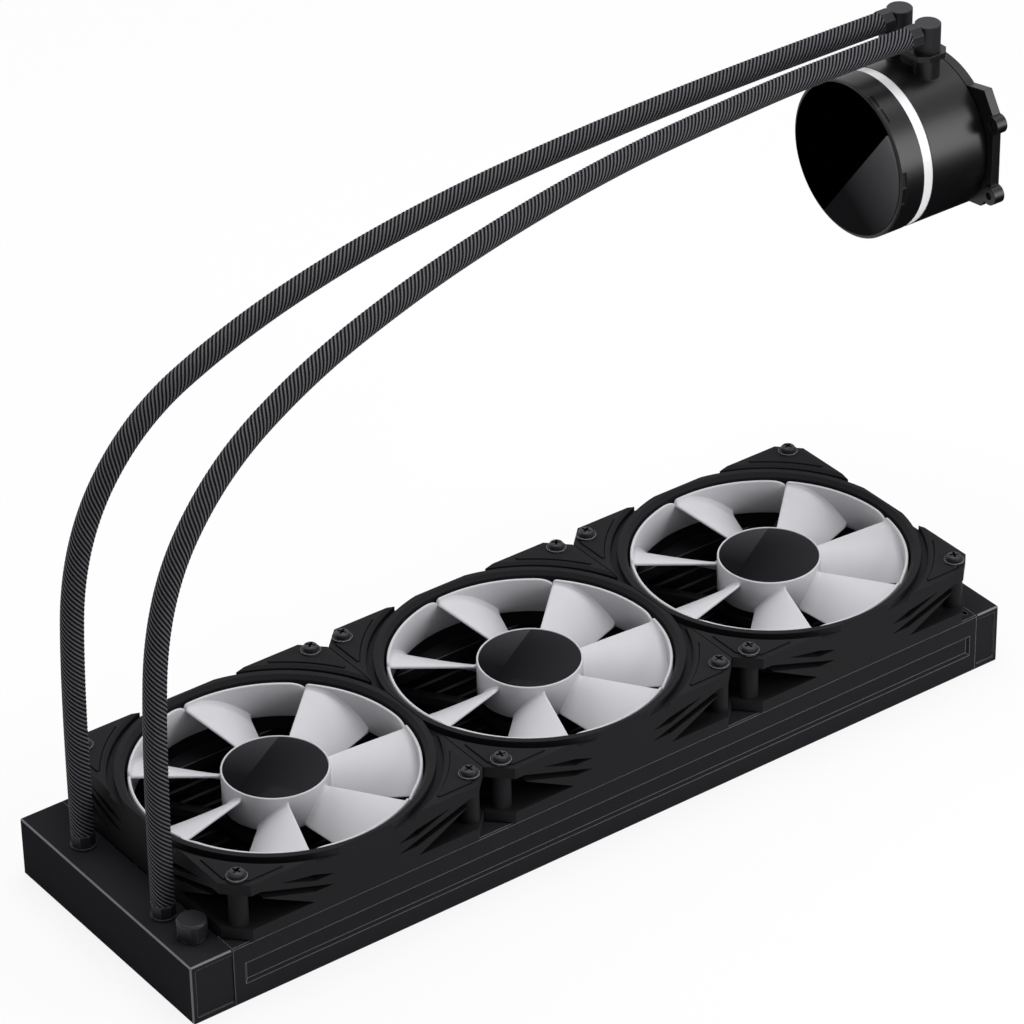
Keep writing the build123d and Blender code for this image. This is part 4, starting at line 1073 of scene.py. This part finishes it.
# Each lamp's place, the point that it faces, its width and its height; the reach of the floor and the card
LAMPS = {
    "top_lamp": ((0.2, 0.1, 1.9), (0, 0, 0), 1.6, 1.6),
    "side_lamp": ((0.95, -1.19, 0.585), (0.2, 0.04, 0.18), 0.5, 1.15),
    "back_lamp": ((-0.6, 1.9, 1.2), (0, 0, 0.05), 1.4, 0.8),
}
FLOOR_REACH = 30.0
CARD_REACH = 0.5
CARD_SHARE = (0.6, 1.0, 1.0)
CARD_PLACE = (0.54, -0.05, 0.01)


def add_lamp(name, place, target, width, height, power):
    """A soft rectangular lamp that faces a point."""
    light = bpy.data.lights.new(name, "AREA")
    light.shape = "RECTANGLE"
    light.size, light.size_y = width, height
    light.energy = power
    lamp = bpy.data.objects.new(name, light)
    bpy.context.scene.collection.objects.link(lamp)
    lamp.location = place
    aim = Vector(target) - Vector(place)
    lamp.rotation_euler = aim.to_track_quat("-Z", "Y").to_euler()
    return lamp


def seen_directly(tree):
    """1 for what the camera, mirrors and clear pieces see, and 0 for light that falls on a surface."""
    path = add_node(tree, "ShaderNodeLightPath")
    mirrored = add_node(
        tree,
        "ShaderNodeMath",
        {"operation": "MAXIMUM"},
        {0: path.outputs["Is Camera Ray"], 1: path.outputs["Is Glossy Ray"]},
    )
    either = add_node(
        tree,
        "ShaderNodeMath",
        {"operation": "MAXIMUM"},
        {0: mirrored.outputs[0], 1: path.outputs["Is Transmission Ray"]},
    )
    return either.outputs[0]


def floor_material(colours):
    """Pale floor that the camera and mirrors see as white, with part of its shadow kept."""
    material, tree = empty_material("studio_floor")
    seen = seen_directly(tree)
    share = add_node(tree, "ShaderNodeMath", {"operation": "MULTIPLY", 1: FLOOR_GLOW}, {0: seen})
    matte = add_node(tree, "ShaderNodeBsdfDiffuse", {"Color": colours.floor})
    white = add_node(tree, "ShaderNodeEmission", {"Color": (1, 1, 1, 1), "Strength": 1.0})
    mix = add_node(
        tree, "ShaderNodeMixShader", links={0: share.outputs[0], 1: matte.outputs[0], 2: white.outputs[0]}
    )
    add_node(tree, "ShaderNodeOutputMaterial", links={"Surface": mix.outputs[0]})
    return material


def card_material():
    """Dull black card."""
    material, tree = empty_material("black_card")
    matte = add_node(tree, "ShaderNodeBsdfDiffuse", {"Color": linear("#0a0a0a")})
    add_node(tree, "ShaderNodeOutputMaterial", links={"Surface": matte.outputs[0]})
    return material


class COOLER_OT_stage(bpy.types.Operator):
    """Sets the floor, the lamps, the sky and the photograph's camera"""

    bl_idname = "cooler.stage"
    bl_label = "Stage"

    def execute(self, context):
        scene, view, colours = context.scene, context.scene.cooler_view, context.scene.cooler_colours
        bm = bmesh.new()
        bmesh.ops.create_grid(bm, x_segments=1, y_segments=1, size=FLOOR_REACH)
        floor = bpy.data.objects.new("floor", to_mesh("floor", bm))
        floor.data.materials.append(floor_material(colours))
        floor.location.z = CAD_BOX[0][2]
        scene.collection.objects.link(floor)

        powers = {"top_lamp": view.top_lamp, "side_lamp": view.side_lamp, "back_lamp": view.back_lamp}
        for name, (place, target, width, height) in LAMPS.items():
            add_lamp(name, place, target, width, height, powers[name])

        # A black card under the pump head keeps its underside dark, and only reflections see it
        bm = bmesh.new()
        bmesh.ops.create_grid(bm, x_segments=1, y_segments=1, size=CARD_REACH)
        bmesh.ops.scale(bm, vec=CARD_SHARE, verts=bm.verts)
        card = bpy.data.objects.new("black_card", to_mesh("black_card", bm))
        card.data.materials.append(card_material())
        card.location = CARD_PLACE
        scene.collection.objects.link(card)
        for kind in ("camera", "diffuse", "transmission", "volume_scatter", "shadow"):
            setattr(card, "visible_" + kind, False)

        world = bpy.data.worlds.new("studio")
        scene.world = world
        world.use_nodes = True
        tree = world.node_tree
        tree.nodes.clear()
        sky = add_node(tree, "ShaderNodeBackground", {"Color": (1, 1, 1, 1), "Strength": view.sky})
        white = add_node(tree, "ShaderNodeBackground", {"Color": (1, 1, 1, 1), "Strength": HORIZON})
        share = seen_directly(tree)
        mix = add_node(tree, "ShaderNodeMixShader", links={0: share, 1: sky.outputs[0], 2: white.outputs[0]})
        add_node(tree, "ShaderNodeOutputWorld", links={"Surface": mix.outputs[0]})

        camera = bpy.data.objects.new("camera", bpy.data.cameras.new("camera"))
        scene.collection.objects.link(camera)
        camera.data.sensor_width = 36.0
        camera.data.lens = view.lens
        camera.data.clip_end = 50.0
        ahead = Vector((sin(view.heading) * cos(view.dip), cos(view.heading) * cos(view.dip), -sin(view.dip)))
        level = Vector((cos(view.heading), -sin(view.heading), 0))
        above = level.cross(ahead)
        right = cos(view.roll) * level + sin(view.roll) * above
        up = cos(view.roll) * above - sin(view.roll) * level
        turn = Matrix((right, up, -ahead)).transposed().to_4x4()
        camera.matrix_world = Matrix.Translation(view.place) @ turn
        scene.camera = camera
        scene.view_settings.view_transform = "Standard"
        return {"FINISHED"}


class COOLER_PT_panel(bpy.types.Panel):
    """Lists the steps that dress the cooler"""

    bl_idname = "COOLER_PT_panel"
    bl_label = "Liquid cooler"
    bl_space_type = "VIEW_3D"
    bl_region_type = "UI"
    bl_category = "Cooler"

    def draw(self, context):
        for operator in OPERATORS:
            self.layout.operator(operator.bl_idname)
        for group in ("cooler_sizes", "cooler_colours", "cooler_view"):
            values = getattr(context.scene, group)
            for name in type(values).__annotations__:
                self.layout.prop(values, name)


OPERATORS = (
    COOLER_OT_stage,
    COOLER_OT_hoses,
    COOLER_OT_fins,
    COOLER_OT_rotors,
    COOLER_OT_face,
    COOLER_OT_screws,
    COOLER_OT_finishes,
)
GROUPS = {"cooler_sizes": CoolerSizes, "cooler_colours": CoolerColours, "cooler_view": CoolerView}


def register():
    for group in GROUPS.values():
        bpy.utils.register_class(group)
    for name, group in GROUPS.items():
        setattr(bpy.types.Scene, name, PointerProperty(type=group))
    for operator in OPERATORS:
        bpy.utils.register_class(operator)
    bpy.utils.register_class(COOLER_PT_panel)


def unregister():
    bpy.utils.unregister_class(COOLER_PT_panel)
    for operator in reversed(OPERATORS):
        bpy.utils.unregister_class(operator)
    for name, group in GROUPS.items():
        delattr(bpy.types.Scene, name)
        bpy.utils.unregister_class(group)


def main():
    register()
    for operator in OPERATORS:
        group, name = operator.bl_idname.split(".")
        getattr(getattr(bpy.ops, group), name)()


if __name__ == "__main__":
    main()
